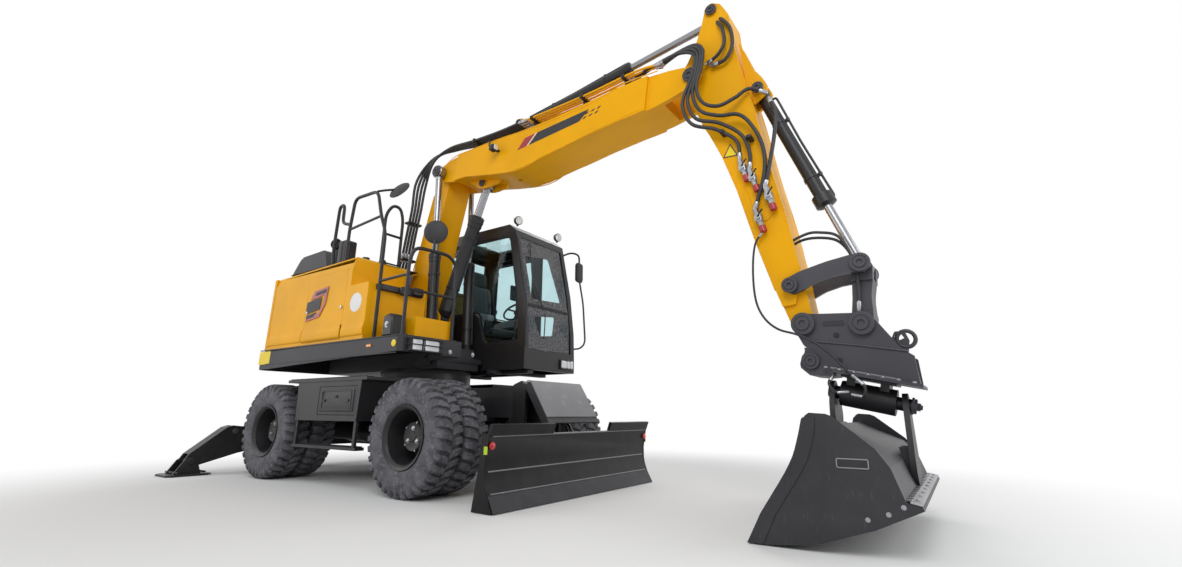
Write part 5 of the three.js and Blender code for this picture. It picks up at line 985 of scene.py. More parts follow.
def head_lamps():
    """The lamp cluster behind its guard in the skirt's front face, and the one under the cab."""
    black, lens = Form(), Form()
    x = 1.1175
    black.brick((x, x + 0.030), (-1.165, -0.760), (1.315, 1.460), 0.008)
    for y0, y1 in ((-1.130, -1.010), (-0.985, -0.800)):
        lens.brick((x + 0.024, x + 0.042), (y0, y1), (1.335, 1.440), 0.008)
    for z in (1.328, 1.388, 1.446):
        black.bent([(x + 0.02, -1.180, z), (x + 0.062, -1.175, z), (x + 0.062, -0.755, z),
                    (x + 0.02, -0.750, z)], 0.006, 0.02, 8)
    for y in (-1.150, -0.997, -0.780):
        black.rod((x + 0.062, y, 1.322), (x + 0.062, y, 1.452), 0.006, 8)
    cab = 1.3682
    black.brick((cab, cab + 0.022), (0.935, 1.200), (1.280, 1.400), 0.008)
    for y0, y1 in ((0.950, 1.050), (1.062, 1.118), (1.130, 1.186)):
        lens.brick((cab + 0.016, cab + 0.034), (y0, y1), (1.295, 1.385), 0.008)
    piece("lamp_housings", black, BLACK, "upper")
    piece("lamp_lenses", lens, CLEAR_LAMP, "upper")


def skirt_trim():
    """The folded rims along both sides of the skirt and the screws in its front face."""
    form, bolts = Form(), Form()
    for y, out in ((-1.2505, -1), (1.2505, 1)):
        form.brick((-1.640, 1.080), sorted((y, y + out * 0.006)), (1.462, 1.476), 0.002)
        form.brick((-1.480, 1.080), sorted((y, y + out * 0.005)), (1.296, 1.306), 0.002)
    for y in (-0.62, -0.30):
        bolts.bolt((1.1178, y, 1.36), (1, 0, 0), 0.016, 0.010)
    piece("skirt_rims", form, SATIN, "upper")
    piece("skirt_bolts", bolts, BOLT, "upper")


house_panels()
louvres()
house_fittings()
deck_plates()
house_marks()
head_lamps()
skirt_trim()


# ---------------------------------------------------------------------------------------------
# Cab: glass, seals, lamps, mirror and the operator's place
# ---------------------------------------------------------------------------------------------
CAB_RIGHT, CAB_LEFT = 0.27, 1.25
FRONT_LINE = softened([(1.350, 1.480), (1.332, 2.000, 0.30), (1.145, 2.900)], 0.3, 10, closed=False)


def front_x(z):
    """The windscreen's reach forward at a height, read off its curved side line."""
    return np.interp(z, FRONT_LINE[:, 1], FRONT_LINE[:, 0])


def screen(form, y0, y1, z0, z1, lift=0.0, thick=0.006):
    """A pane that follows the windscreen's side line between two heights."""
    z = np.linspace(z0, z1, 15)
    x = front_x(z) + lift
    rings = np.zeros((15, 4, 3))
    rings[:, :, 2] = z[:, None]
    rings[:, :, 0] = x[:, None] - np.array([0, 0, thick, thick])
    rings[:, :, 1] = np.array([y0, y1, y1, y0])
    return form.rings(rings)


def screen_border(form, outer, inner, lift):
    """A dark border between two four-cornered loops (y, z), laid on the windscreen."""
    loops = [softened(loop, 0.03, 6) for loop in (outer, outer, inner, inner)]
    rings = np.zeros((4, len(loops[0]), 3))
    for ring, loop, back in zip(rings, loops, (0.0, 0.002, 0.002, 0.0)):
        ring[:, 1:] = loop
        ring[:, 0] = front_x(loop[:, 1]) + lift + back
    return form.rings(rings, looped=True)


RIGHT_WINDOW = [(-0.185, 1.965, 0.06), (0.562, 1.965, 0.06), (0.692, 1.565, 0.06), (1.252, 1.565, 0.06),
                (1.233, 2.020, 0.20), (1.055, 2.925, 0.08), (-0.165, 2.925, 0.08)]
QUARTER = [(0.775, 1.565, 0.05), (1.252, 1.565, 0.05), (1.233, 2.020, 0.15), (1.055, 2.925, 0.06),
           (0.775, 2.925, 0.06)]
DOOR_UPPER = [(-0.106, 2.084, 0.05), (0.621, 1.904, 0.05), (0.621, 2.886, 0.06), (-0.092, 2.886, 0.06)]
DOOR_LOWER = [(0.144, 1.544, 0.04), (0.621, 1.544, 0.04), (0.621, 1.826, 0.04), (0.144, 1.916, 0.04)]


def glazed(glass, seal, loop, y, width, proud):
    """A pane in a side opening and the rubber border round it, which stands proud of the pane's face."""
    edge = softened(loop, 0.05, 5)
    glass.plate(inset(edge, 0.004), y, y + 0.006, "y", 0.001)
    seal.border(inset(edge, 0.001), width, y - 0.006, y + 0.006 + proud)


def cab_glass():
    """Every pane in its opening, and the rubber seal round each."""
    glass, seal = Form(), Form()
    for loop, y in ((RIGHT_WINDOW, CAB_RIGHT + 0.018), (QUARTER, CAB_LEFT - 0.024)):
        glazed(glass, seal, loop, y, 0.020, 0.006)
    glass.brick((-0.292, -0.286), (0.385, 1.135), (2.085, 2.895), 0.002)
    glass.brick((0.055, 0.795), (0.435, 1.085), (3.052, 3.058), 0.002)
    screen(glass, 0.347, 1.151, 1.484, 2.004)
    screen(glass, 0.347, 1.151, 2.032, 2.896)
    piece("cab_panes", glass, GLASS, "upper", sharp=20)
    screen(seal, 0.345, 1.153, 2.000, 2.036, 0.012, 0.030)
    piece("cab_seals", seal, SEAL, "upper")
    door_glass, door_seal = Form(), Form()
    for loop in (DOOR_UPPER, DOOR_LOWER):
        glazed(door_glass, door_seal, loop, CAB_LEFT - 0.018, 0.018, 0.008)
    piece("door_panes", door_glass, GLASS, "cab_door", sharp=20)
    piece("door_seals", door_seal, SEAL, "cab_door")
    border = Form()
    screen_border(border, [(0.347, 2.036), (1.151, 2.036), (1.151, 2.896), (0.347, 2.896)],
                  [(0.430, 2.100), (1.000, 2.140), (0.870, 2.720), (0.400, 2.660)], 0.0005)
    screen_border(border, [(0.347, 1.486), (1.151, 1.486), (1.151, 2.002), (0.347, 2.002)],
                  [(0.560, 1.650), (0.800, 1.680), (0.850, 1.925), (0.450, 1.880)], 0.0005)
    piece("windscreen_border", border, FRIT, "upper")


def far_mirror():
    """The rounded shell of the left mirror and its glass, which looks back."""
    loop = softened([(1.335, 2.500), (1.475, 2.500), (1.475, 2.780), (1.335, 2.780)], 0.05, 6)
    piece("left_mirror_shell", Form().plate(loop, 1.290, 1.346, "x", 0.018), PLASTIC, "upper")
    piece("left_mirror_glass", Form().plate(inset(loop, 0.014), 1.2885, 1.2905, "x", 0.0008), MIRROR, "upper")


def cab_rails():
    """Roof lamps, the beacon, the wipers, the rail by the windscreen and the left mirror's arms."""
    black, lens = Form(), Form()
    for x, y, z in ((1.120, 0.345, 3.130), (1.120, 1.165, 3.130)):
        black.rod((x - 0.02, y, 3.060), (x - 0.02, y, 3.110), 0.014)
        black.turned([(0.030, -0.062), (0.052, -0.040), (0.058, -0.008), (0.058, 0.004), (0.052, 0.006)],
                     (x, y, z), (1, -0.25, -0.1), 28)
        lens.turned([(0.051, 0.004), (0.051, 0.010), (0.030, 0.016), (0.010, 0.018)], (x, y, z),
                    (1, -0.25, -0.1), 28)
    black.turned([(0.050, 0), (0.055, 0.010), (0.050, 0.075), (0.030, 0.095), (0.010, 0.098)],
                 (-0.180, 1.020, 3.076), (0, 0, 1), 28)
    for z0, z1, y0 in ((2.30, 2.86, 0.46), (1.62, 1.94, 0.62)):
        z = np.linspace(z0, z1, 8)
        black.pipe(np.stack([front_x(z) + 0.020, y0 + 0.10 * (z - z0), z], axis=1), 0.007, 8)
    arm_z = np.linspace(2.02, 2.30, 6)
    black.pipe(np.stack([front_x(arm_z) + 0.030, 0.60 - 0.5 * (arm_z - 2.02), arm_z], axis=1), 0.009, 8)
    black.bent([(1.345, 0.284, 1.480), (1.372, 0.280, 1.540), (1.362, 0.280, 2.050), (1.180, 0.280, 2.860),
                (1.130, 0.288, 2.930)], 0.014, 0.08, 12)
    black.bent([(1.150, 1.252, 2.880), (1.230, 1.330, 2.930), (1.318, 1.405, 2.900), (1.318, 1.405, 2.500)],
               0.013, 0.07, 12)
    black.bent([(1.318, 1.405, 2.560), (1.360, 1.450, 2.200), (1.400, 1.450, 1.660), (1.370, 1.380, 1.580),
                (1.345, 1.250, 1.560)], 0.012, 0.08, 12)
    piece("cab_rails", black, BLACK, "upper")
    piece("roof_lamp_lenses", lens, CLEAR_LAMP, "upper")


def cushion(form, centre, half, tilt, channels):
    """A stuffed pad. Its section is a superellipse |u|^n + |w|^n = 1; along its width the section
    shrinks as (1 - |v|^6)^(1/6) and dips by a narrow bell curve at each sewn channel."""
    v = np.sin(np.linspace(-1, 1, 49) * math.pi / 2) * 0.995
    shrink = (1 - np.abs(v) ** 6) ** (1 / 6)
    angle = np.linspace(0, 2 * math.pi, 56, endpoint=False)
    power = 2 / 3.6
    u = np.sign(np.cos(angle)) * np.abs(np.cos(angle)) ** power
    w = np.sign(np.sin(angle)) * np.abs(np.sin(angle)) ** power
    dip = sum(np.exp(-((v - c) / 0.035) ** 2) for c in channels) if channels else 0 * v
    crown = 1 + 0.10 * np.cos(v * math.pi / 2)
    long = half[0] * (0.94 + 0.06 * shrink)[:, None] * u[None, :]
    deep = half[2] * (shrink * crown - 0.16 * dip)[:, None] * w[None, :]
    lean = math.radians(tilt)
    x = centre[0] + long * math.cos(lean) - deep * math.sin(lean)
    z = centre[2] + long * math.sin(lean) + deep * math.cos(lean)
    y = np.broadcast_to((centre[1] + half[1] * v)[:, None], x.shape)
    return form.rings(np.stack([x, y, z], axis=-1))


def operator_place():
    """Seat pads, armrest consoles with their levers, the steering column and the screen."""
    x, mid = 0.12, 0.76
    for name, centre, half, tilt, channels, replaced in (
            ("seat_cushion", (x + 0.19, mid, 1.765), (0.250, 0.235, 0.060), 3, (-0.62, 0.62), True),
            ("seat_back", (x - 0.075, mid, 2.120), (0.350, 0.215, 0.055), 96, (-0.60, 0.60), False),
            ("seat_headrest", (x - 0.110, mid, 2.575), (0.105, 0.130, 0.040), 94, (), False)):
        form = Form()
        cushion(form, centre, half, tilt, channels)
        pad = piece(name, form, FABRIC, "upper", ("operator_seat",) if replaced else (), sharp=60)
    dark, light = Form(), Form()
    dark.brick((x + 0.02, x + 0.33), (0.600, 0.920), (1.392, 1.690), 0.03)
    dark.brick((x + 0.04, x + 0.36), (0.400, 1.120), (1.660, 1.700), 0.01)
    for y0, y1 in ((0.400, 0.505), (1.015, 1.120)):
        dark.plate(softened([(x, 1.690, 0.03), (x + 0.42, 1.690, 0.04), (x + 0.50, 1.880, 0.05),
                             (x - 0.03, 1.880, 0.04)], 0.03, 4), y0, y1, "y", 0.012)
        light.plate(softened([(x - 0.02, 1.884, 0.02), (x + 0.50, 1.884, 0.04), (x + 0.51, 1.960, 0.04),
                              (x + 0.30, 2.005, 0.06), (x - 0.03, 1.960, 0.04)], 0.03, 4), y0 - 0.004,
                    y1 + 0.004, "y", 0.014)
        y = (y0 + y1) / 2
        dark.turned([(0.030, 0), (0.022, 0.012), (0.014, 0.03), (0.012, 0.09), (0.022, 0.11), (0.026, 0.15),
                     (0.022, 0.17)], (x + 0.43, y, 1.955), (0.1, 0, 1), 20)
    dark.brick((0.60, 1.28), (0.322, 0.520), (1.395, 1.560), 0.03)
    dark.bent([(0.98, mid, 1.392), (0.94, mid, 1.70), (0.80, mid, 2.02)], 0.040, 0.12, 16)
    dark.turned([(0.175, -0.012), (0.187, -0.012), (0.193, 0), (0.187, 0.012), (0.175, 0.012), (0.169, 0)],
                (0.775, mid, 2.045), (-0.5, 0, 0.87), 40, looped=True)
    dark.turned([(0.045, -0.030), (0.055, 0), (0.040, 0.02)], (0.785, mid, 2.035), (-0.5, 0, 0.87), 20)
    for turn in (30, 150, 270):
        spoke = np.array([0.87 * math.cos(math.radians(turn)), math.sin(math.radians(turn)),
                          0.5 * math.cos(math.radians(turn))])
        dark.rod(np.array([0.780, mid, 2.040]) + spoke * 0.04, np.array([0.775, mid, 2.045]) + spoke * 0.178,
                 0.011, 10)
    dark.plate(softened([(0.345, 2.100), (0.565, 2.100), (0.565, 2.290), (0.345, 2.290)], 0.02), 1.02, 1.05,
               "x", 0.008)
    dark.bent([(1.06, 0.40, 1.56), (1.08, 0.42, 1.90), (1.05, 0.45, 2.12)], 0.014, 0.08)
    for y in (0.60, 0.92):
        dark.brick((1.06, 1.20), (y - 0.045, y + 0.045), (1.440, 1.470), 0.006)
    light.brick((0.30, 0.56), (0.322, 0.396), (1.75, 1.90), 0.02)
    piece("operator_controls", dark, PLASTIC, "upper")
    piece("armrest_tops", light, TRIM, "upper")


def door_fittings():
    """The cab door's hinges, handle and grab bar."""
    form = Form()
    for z in (1.62, 2.20, 2.78):
        form.rod((-0.172, 1.262, z - 0.045), (-0.172, 1.262, z + 0.045), 0.014, 16)
        form.brick((-0.170, -0.080), (1.254, 1.264), (z - 0.030, z + 0.030), 0.003)
    form.brick((0.560, 0.660), (1.254, 1.276), (1.900, 1.960), 0.008)
    form.bent([(-0.020, 1.256, 1.500), (-0.020, 1.300, 1.530), (-0.020, 1.300, 1.980),
               (-0.020, 1.256, 2.010)], 0.012, 0.04)
    piece("door_fittings", form, BLACK, "cab_door")


cab_glass()
cab_rails()
far_mirror()
operator_place()
door_fittings()


# ---------------------------------------------------------------------------------------------
# Arm: pins, welds, pipes, hoses, couplings and marks
# ---------------------------------------------------------------------------------------------
def arm_point(x, z, y=BOOM_Y):
    """A point in the arm's plane, or beside it."""
    return np.array([x, y, z])


def pin_ends(form, centre, reach, radius):
    """The round heads on both ends of a pin: a washer, a raised collar and the bore in its middle."""
    share = ((1.0, -0.004), (1.0, 0.007), (0.93, 0.011), (0.72, 0.011), (0.70, 0.007), (0.58, 0.007),
             (0.55, 0.017), (0.30, 0.017), (0.27, 0.006), (0.06, 0.004))
    for side in (-1, 1):
        foot = np.array([centre[0], BOOM_Y + side * reach, centre[2]])
        form.turned([(radius * r, h) for r, h in share], foot, (0, side, 0), 32)


def arm_pins():
    """Heads on every pin of the arm, on the body that carries the pin."""
    groups = {
        "upper": ((pin("lower_boom_raise"), 0.236, 0.070),),
        "lower_boom": ((JOINT_PIN, 0.330, 0.072),),
        "upper_boom": ((STICK_PIN, 0.241, 0.072), (ADJUST_EYE, 0.109, 0.048),
                       (pin("stick_barrel_swing"), 0.112, 0.044)),
        "stick": ((STICK_TAIL, 0.184, 0.056), (pin("bucket_barrel_swing"), 0.128, 0.052),
                  (pin("rocker_swing"), 0.226, 0.060), (pin("coupler_curl"), 0.205, 0.084)),
        "rocker": ((ROCKER_TOP, 0.223, 0.070),),
        "coupler": ((np.array([4.996, 0, 1.370]), 0.205, 0.084), (np.array([4.635, 0, 1.124]), 0.195, 0.060)),
    }
    for body, pins in groups.items():
        heads = Form()
        for centre, reach, radius in pins:
            pin_ends(heads, centre, reach, radius)
        piece("pin_heads_" + body, heads, GREY, body)


UPPER_TOP = [(0.436, 3.790), (0.637, 3.876), (0.894, 3.886), (1.379, 3.891), (2.068, 3.869), (2.704, 3.901),
             (3.130, 3.984), (3.500, 3.978)]
UPPER_LOW = [(0.781, 3.558), (1.667, 3.404), (2.054, 3.472), (2.363, 3.504), (2.883, 3.579), (3.311, 3.629)]
STICK_REAR = [(3.801, 3.670), (3.890, 3.330), (3.980, 3.131), (4.130, 2.742), (4.287, 2.139), (4.418, 1.682)]
STICK_FRONT = [(4.272, 3.732), (4.358, 3.339), (4.455, 2.752), (4.538, 2.324), (4.585, 2.030)]
LOWER_REAR = [(0.190, 3.467), (0.015, 2.842), (-0.114, 2.434), (-0.125, 2.050)]


def welds():
    """A weld bead along each corner of the three arm sections."""
    for name, body, half, edges in (("upper_boom_welds", "upper_boom", BOOM_HALF, (UPPER_TOP, UPPER_LOW)),
                                    ("stick_welds", "stick", STICK_HALF, (STICK_REAR, STICK_FRONT)),
                                    ("lower_boom_welds", "lower_boom", 0.175, (LOWER_REAR,))):
        form = Form()
        for line in edges:
            for side in (-1, 1):
                path = np.array([(x, BOOM_Y + side * (half - 0.001), z) for x, z in line])
                form.pipe(smooth_path(path, 5), 0.0055, 8)
        piece(name, form, YELLOW, body)


WARNING_SIGN = [(4.066, 2.915), (4.206, 2.905), (4.138, 3.040)]


def boom_marks():
    """The plain dark stripe with a red bar on both sides of the boom, and the stick's warning shape."""
    for hand, side in SIDES.items():
        y = BOOM_Y + side * (BOOM_HALF + 0.0006)
        dark, red, pale = Form(), Form(), Form()
        for form, bar in ((dark, [(1.860, 3.668), (2.560, 3.735), (2.690, 3.842), (1.990, 3.790)]),
                          (red, [(1.690, 3.652), (1.825, 3.665), (1.950, 3.787), (1.800, 3.775)]),
                          (pale, [(1.830, 3.666), (1.852, 3.668), (1.980, 3.789), (1.956, 3.787)])):
            mark(form, bar, y, side * 0.0012)
        for step in range(3):
            for row in range(2):
                x0, z0 = 2.600 + 0.075 * step + 0.03 * row, 3.745 + 0.008 * step + 0.045 * row
                corners = ((0, 0), (0.034, 0.004), (0.062, 0.026), (0.028, 0.022))
                mark(dark, [(x0 + x, z0 + z) for x, z in corners], y, side * 0.0012)
        for tone, form, finish in (("dark", dark, SATIN), ("red", red, RED), ("pale", pale, WHITE)):
            piece(f"boom_stripe_{tone}_{hand}", form, finish, "upper_boom")
        y = BOOM_Y + side * (STICK_HALF + 0.0006)
        sign, rim_mark = Form(), Form()
        mark(rim_mark, WARNING_SIGN, y, side * 0.0010)
        middle = np.mean(WARNING_SIGN, axis=0)
        mark(sign, [tuple(middle + (np.array(c) - middle) * 0.76) for c in WARNING_SIGN], y, side * 0.0018)
        piece("stick_sign_rim_" + hand, rim_mark, SATIN, "stick")
        piece("stick_sign_" + hand, sign, SIGN, "stick")


PIPE_Y = (-0.332, -0.288, -0.244, -0.200)
PIPE_LINE = [(1.760, 4.015), (2.160, 4.022), (2.580, 4.035), (2.900, 4.058), (3.150, 4.080), (3.330, 4.082),
             (3.500, 4.062)]
HOSE_RADIUS = 0.0165


def boom_pipes():
    """Four steel pipes on brackets along the boom's top, with unions at their ends. The two inside the
    stick's width end short of its swinging tail."""
    pipes, clamps, unions = Form(), Form(), Form()
    for y in PIPE_Y:
        line = PIPE_LINE if y < STICK_SIDE - 0.02 else PIPE_LINE[:-2]
        path = smooth_path([(x, y, z) for x, z in line], 4)
        pipes.pipe(path, 0.0125, 12)
        for end, other in ((path[0], path[1]), (path[-1], path[-2])):
            way = (other - end) / np.linalg.norm(other - end)
            unions.turned([(0.020, -0.030), (0.022, -0.026), (0.022, 0.012), (0.017, 0.016),
                           (0.017, 0.046)], end, way, 6)
    for x, z, top in ((1.880, 4.017, 3.870), (2.580, 4.035, 3.890), (3.100, 4.076, 3.955)):
        clamps.brick((x - 0.020, x + 0.020), (-0.356, -0.176), (z - 0.024, z + 0.024), 0.008)
        clamps.brick((x - 0.006, x + 0.006), (-0.300, -0.240), (top, z), 0.002)
        clamps.bolt((x, -0.266, z + 0.024), (0, 0, 1), 0.009, 0.010)
    piece("boom_pipes", pipes, YELLOW, "upper_boom")
    piece("boom_pipe_clamps", clamps, BLACK, "upper_boom")
    piece("boom_pipe_unions", unions, BOLT, "upper_boom")


def hose(name, route, bodies, radius=HOSE_RADIUS):
    """One rubber hose on a smooth route, crimped at both ends. Between two bodies it stays where it is, on
    neither body.
    """
    rubber, steel = Form(), Form()
    path = smooth_path(route, 6)
    rubber.pipe(path, radius, 12)
    for end, other in ((path[0], path[2]), (path[-1], path[-3])):
        way = (other - end) / np.linalg.norm(other - end)
        steel.turned([(radius * 0.9, -0.020), (radius * 1.15, -0.016), (radius * 1.15, 0.0),
                      (radius * 1.28, 0.004), (radius * 1.28, 0.050), (radius * 1.15, 0.056)], end, way, 16)
    for form, finish, label in ((rubber, HOSE, name), (steel, BOLT, name + "_ends")):
        made = shaped(label, form, finish, 50)
        if len(bodies) == 1:
            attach(made, bodies[0])
        else:
            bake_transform(made)


def foot_hoses():
    """Hoses from the deck up the lower boom's back edge, over its head to the boom's pipes, and the
    clamps that hold them."""
    for index, y in enumerate(PIPE_Y):
        aside = -0.335 - 0.036 * index
        hose(f"deck_hose_{index}",
             [(-0.300, -0.360 - 0.03 * index, 1.700), (-0.330, aside, 1.950), (-0.250, aside, 2.250),
              (-0.130 - 0.012 * index, aside, 2.480), (-0.085 - 0.012 * index, aside, 2.640)],
             ("upper", "lower_boom"))
        hose(f"head_hose_{index}",
             [(-0.085 - 0.012 * index, aside, 2.640), (-0.045 - 0.010 * index, aside, 2.920),
              (0.020 - 0.012 * index, aside, 3.260), (0.075 - 0.016 * index, aside, 3.620 + 0.012 * index),
              (0.230, aside * 0.5 + y * 0.5 - 0.03, 3.900 + 0.022 * index),
              (0.520, y - 0.02, 4.020 + 0.012 * index), (0.950, y, 4.010), (1.380, y, 4.000),
              (1.740, y, 4.014)],
             ("lower_boom", "upper_boom"))
    clamps = Form()
    clamps.brick((-0.170, -0.060), (-0.470, -0.270), (2.600, 2.630), 0.008)
    clamps.brick((-0.110, -0.010), (-0.470, -0.270), (3.080, 3.110), 0.008)
    piece("foot_hose_clamps", clamps, BLACK, "lower_boom")
    top = Form()
    top.brick((0.930, 0.965), (-0.356, -0.176), (3.984, 4.036), 0.008)
    top.brick((0.940, 0.955), (-0.290, -0.240), (3.880, 3.990), 0.002)
    piece("boom_hose_clamp", top, BLACK, "upper_boom")


VALVES = ((4.246, 2.760), (4.322, 2.650), (4.440, 2.460), (4.345, 2.290))
STICK_WAY = np.array([0.262, 0, -0.965])


def stick_valves():
    """Four shut-off couplings on the stick's side: a steel block, a lever and a red dust cap."""
    steel, caps, levers = Form(), Form(), Form()
    for x, z in VALVES:
        foot = arm_point(x, z, STICK_SIDE - 0.042)
        steel.brick((x - 0.028, x + 0.028), (STICK_SIDE - 0.066, STICK_SIDE + 0.002),
                    (z - 0.036, z + 0.036), 0.006)
        steel.turned([(0.024, 0.0), (0.024, 0.014), (0.014, 0.018)], (x, STICK_SIDE - 0.065, z), (0, -1, 0),
                     20)
        steel.turned([(0.016, -0.085), (0.024, -0.080), (0.024, -0.045), (0.030, -0.040), (0.030, 0.040),
                      (0.024, 0.045), (0.024, 0.075), (0.018, 0.080)], foot, STICK_WAY, 6)
        caps.turned([(0.022, 0.078), (0.029, 0.082), (0.029, 0.128), (0.022, 0.136), (0.010, 0.138)], foot,
                    STICK_WAY, 20)
        levers.bent([foot + (0, -0.030, 0), foot + (0.012, -0.052, 0.004), foot + (0.050, -0.056, 0.050)],
                    0.007, 0.02, 8)
    piece("coupling_bodies", steel, BOLT, "stick")
    piece("coupling_caps", caps, RED, "stick")
    piece("coupling_levers", levers, BLACK, "stick")
    outline = softened([(4.195, 2.830), (4.305, 2.820), (4.500, 2.380), (4.400, 2.260), (4.320, 2.290)],
                       0.03, 4)
    piece("coupling_plate", Form().plate(outline, STICK_SIDE - 0.010, STICK_SIDE + 0.001, "y", 0.003), YELLOW,
          "stick")


def head_loops():
    """The hose loops that hang beside the boom's end and rise on the stick, and those on the stick."""
    across = ("upper_boom", "stick")
    routes = (
        [(3.500, -0.332, 4.062), (3.740, -0.355, 4.072), (3.900, -0.385, 3.960), (3.868, -0.405, 3.740),
         (3.775, -0.420, 3.480), (3.845, -0.400, 3.262), (4.050, -0.350, 3.165), (4.212, -0.315, 3.020),
         (4.230, -0.307, 2.845)],
        [(3.500, -0.288, 4.062), (3.770, -0.345, 4.090), (3.925, -0.385, 3.980), (3.900, -0.405, 3.750),
         (3.825, -0.418, 3.500), (3.890, -0.400, 3.300), (4.090, -0.360, 3.210), (4.260, -0.330, 3.060),
         (4.316, -0.312, 2.890), (4.304, -0.307, 2.735)],
        [(3.150, -0.244, 4.080), (3.400, -0.300, 4.086), (3.800, -0.330, 4.110), (3.955, -0.385, 3.990),
         (3.932, -0.405, 3.770), (3.872, -0.412, 3.560), (3.930, -0.400, 3.370), (4.090, -0.370, 3.280),
         (4.250, -0.345, 3.250), (4.350, -0.330, 3.130), (4.430, -0.320, 2.910), (4.425, -0.315, 2.670),
         (4.325, -0.307, 2.375)],
        [(3.150, -0.200, 4.080), (3.400, -0.282, 4.086), (3.820, -0.310, 4.140), (3.975, -0.380, 4.010),
         (3.965, -0.400, 3.810), (3.910, -0.410, 3.610), (3.960, -0.400, 3.440), (4.090, -0.380, 3.370),
         (4.230, -0.340, 3.420), (4.350, -0.300, 3.490), (4.470, -0.240, 3.440)],
    )
    for index, route in enumerate(routes):
        hose(f"loop_hose_{index}", route, across)
    for name, route in (
            ("tail_hose_a", [(4.040, -0.300, 3.850), (4.160, -0.310, 3.860), (4.235, -0.310, 3.980),
                             (4.225, -0.305, 4.170), (4.150, -0.290, 4.310), (4.090, -0.200, 4.400)]),
            ("tail_hose_b", [(3.990, -0.300, 3.890), (4.100, -0.320, 3.930), (4.165, -0.320, 4.030),
                             (4.155, -0.310, 4.190), (4.110, -0.285, 4.290), (4.060, -0.190, 4.400)]),
            ("bucket_cylinder_hose", [(4.495, -0.240, 3.370), (4.545, -0.280, 3.220), (4.535, -0.305, 3.020),
                                      (4.480, -0.310, 2.770), (4.418, -0.307, 2.545)])):
        hose(name, route, ("stick",))
    hose("drop_hose", [(4.375, -0.305, 2.170), (4.302, -0.310, 2.070), (4.270, -0.315, 1.860),
                       (4.275, -0.320, 1.620), (4.330, -0.330, 1.470), (4.430, -0.340, 1.370),
                       (4.570, -0.352, 1.315), (4.690, -0.352, 1.245), (4.790, -0.350, 1.150),
                       (4.880, -0.344, 1.035), (4.940, -0.330, 0.975)], ("stick", "coupler"), 0.0085)
    for index, (y, rise) in enumerate(((-0.222, 0.0), (-0.250, 0.035))):
        hose(f"rocker_hose_{index}",
             [(4.430, y, 1.880), (4.500 + rise * 0.3, y, 1.990 + rise), (4.640 + rise, y, 2.065 + rise),
              (4.790, y, 2.060 + rise), (4.910, y, 2.005 + rise), (4.985, y, 1.860), (5.000, y, 1.650),
              (4.985, y, 1.480)], ("stick", "coupler"), 0.011)
    clamps = Form()
    for x, z in ((4.100, 3.130), (4.330, 3.010)):
        clamps.brick((x - 0.022, x + 0.022), (STICK_SIDE - 0.10, STICK_SIDE + 0.002), (z - 0.016, z + 0.016),
                     0.006)
    piece("stick_hose_clamps", clamps, BLACK, "stick")


def work_lamp():
    """The square lamp on the boom's right side, its bracket and its lead."""
    black, lens = Form(), Form()
    black.brick((1.355, 1.430), (-0.480, -0.400), (3.690, 3.770), 0.012)
    black.brick((1.370, 1.415), (-0.410, -0.349), (3.715, 3.735), 0.004)
    lens.brick((1.427, 1.438), (-0.470, -0.410), (3.700, 3.760), 0.006)
    black.bent([(1.360, -0.440, 3.730), (1.300, -0.430, 3.800), (1.280, -0.380, 3.880),
                (1.200, -0.350, 3.905)], 0.007, 0.03, 8)
    piece("work_lamp", black, BLACK, "upper_boom")
    piece("work_lamp_lens", lens, CLEAR_LAMP, "upper_boom")


arm_pins()
welds()
boom_marks()
boom_pipes()
foot_hoses()
stick_valves()
head_loops()
work_lamp()


# ---------------------------------------------------------------------------------------------
# Blade, bucket and coupler
# ---------------------------------------------------------------------------------------------
def swept(form, line, y0, y1):
    """A closed outline (x, z) carried across the machine."""
    return form.plate(np.array(line, float), y0, y1, "y", 0.002)


def blade_fittings():
    """Seams across the blade, light grey as a painted highlight, its wearing edge, round reflectors with a
    painted glow, the end patches and the guard's cover.
    """
    face = softened([(2.466, 0.006), (2.388, 0.150, 0.06), (2.354, 0.320, 0.06), (2.400, 0.575)], 0.06, 8,
                    closed=False)
    seam_highlight, edge, red, lime = (Form() for _ in range(4))
    # The seams are real weld beads and the top edge, but their light grey is a painted highlight on them.
    for z in (0.136, 0.300, 0.568):
        x = np.interp(z, face[:, 1], face[:, 0])
        seam_highlight.pipe([(x, -1.230, z), (x, 0, z), (x, 1.230, z)], 0.0075, 8)
    swept(edge, [(2.478, 0.0065), (2.412, 0.128), (2.400, 0.124), (2.464, 0.0065)], -1.262, 1.262)
    for side in (-1, 1):
        red.turned([(0.030, 0), (0.030, 0.006), (0.024, 0.010)], (2.398, side * 1.232, 0.495), (1, 0, 0), 28)
        lime.brick((2.352, 2.392), sorted((side * 1.2752, side * 1.2762)), (0.430, 0.490), 0.0004)
    piece("blade_seams_painted_highlight", seam_highlight, SHEET, "blade")
    piece("blade_edge", edge, STEEL, "blade")
    # The reflectors take the red lamp finish, whose faint emission is a painted glow: they are no lamps.
    piece("blade_reflectors_painted_glow", red, RED_LAMP, "blade")
    piece("blade_patches", lime, LIME, "blade")
    cover = softened([(2.020, 1.058), (2.068, 1.054), (2.288, 0.715), (2.278, 0.707), (2.060, 1.044),
                      (2.020, 1.048)], 0.004, 2)
    piece("blade_guard_cover", Form().plate(cover, -0.415, 0.415, "y", 0.002), SHEET, "chassis")


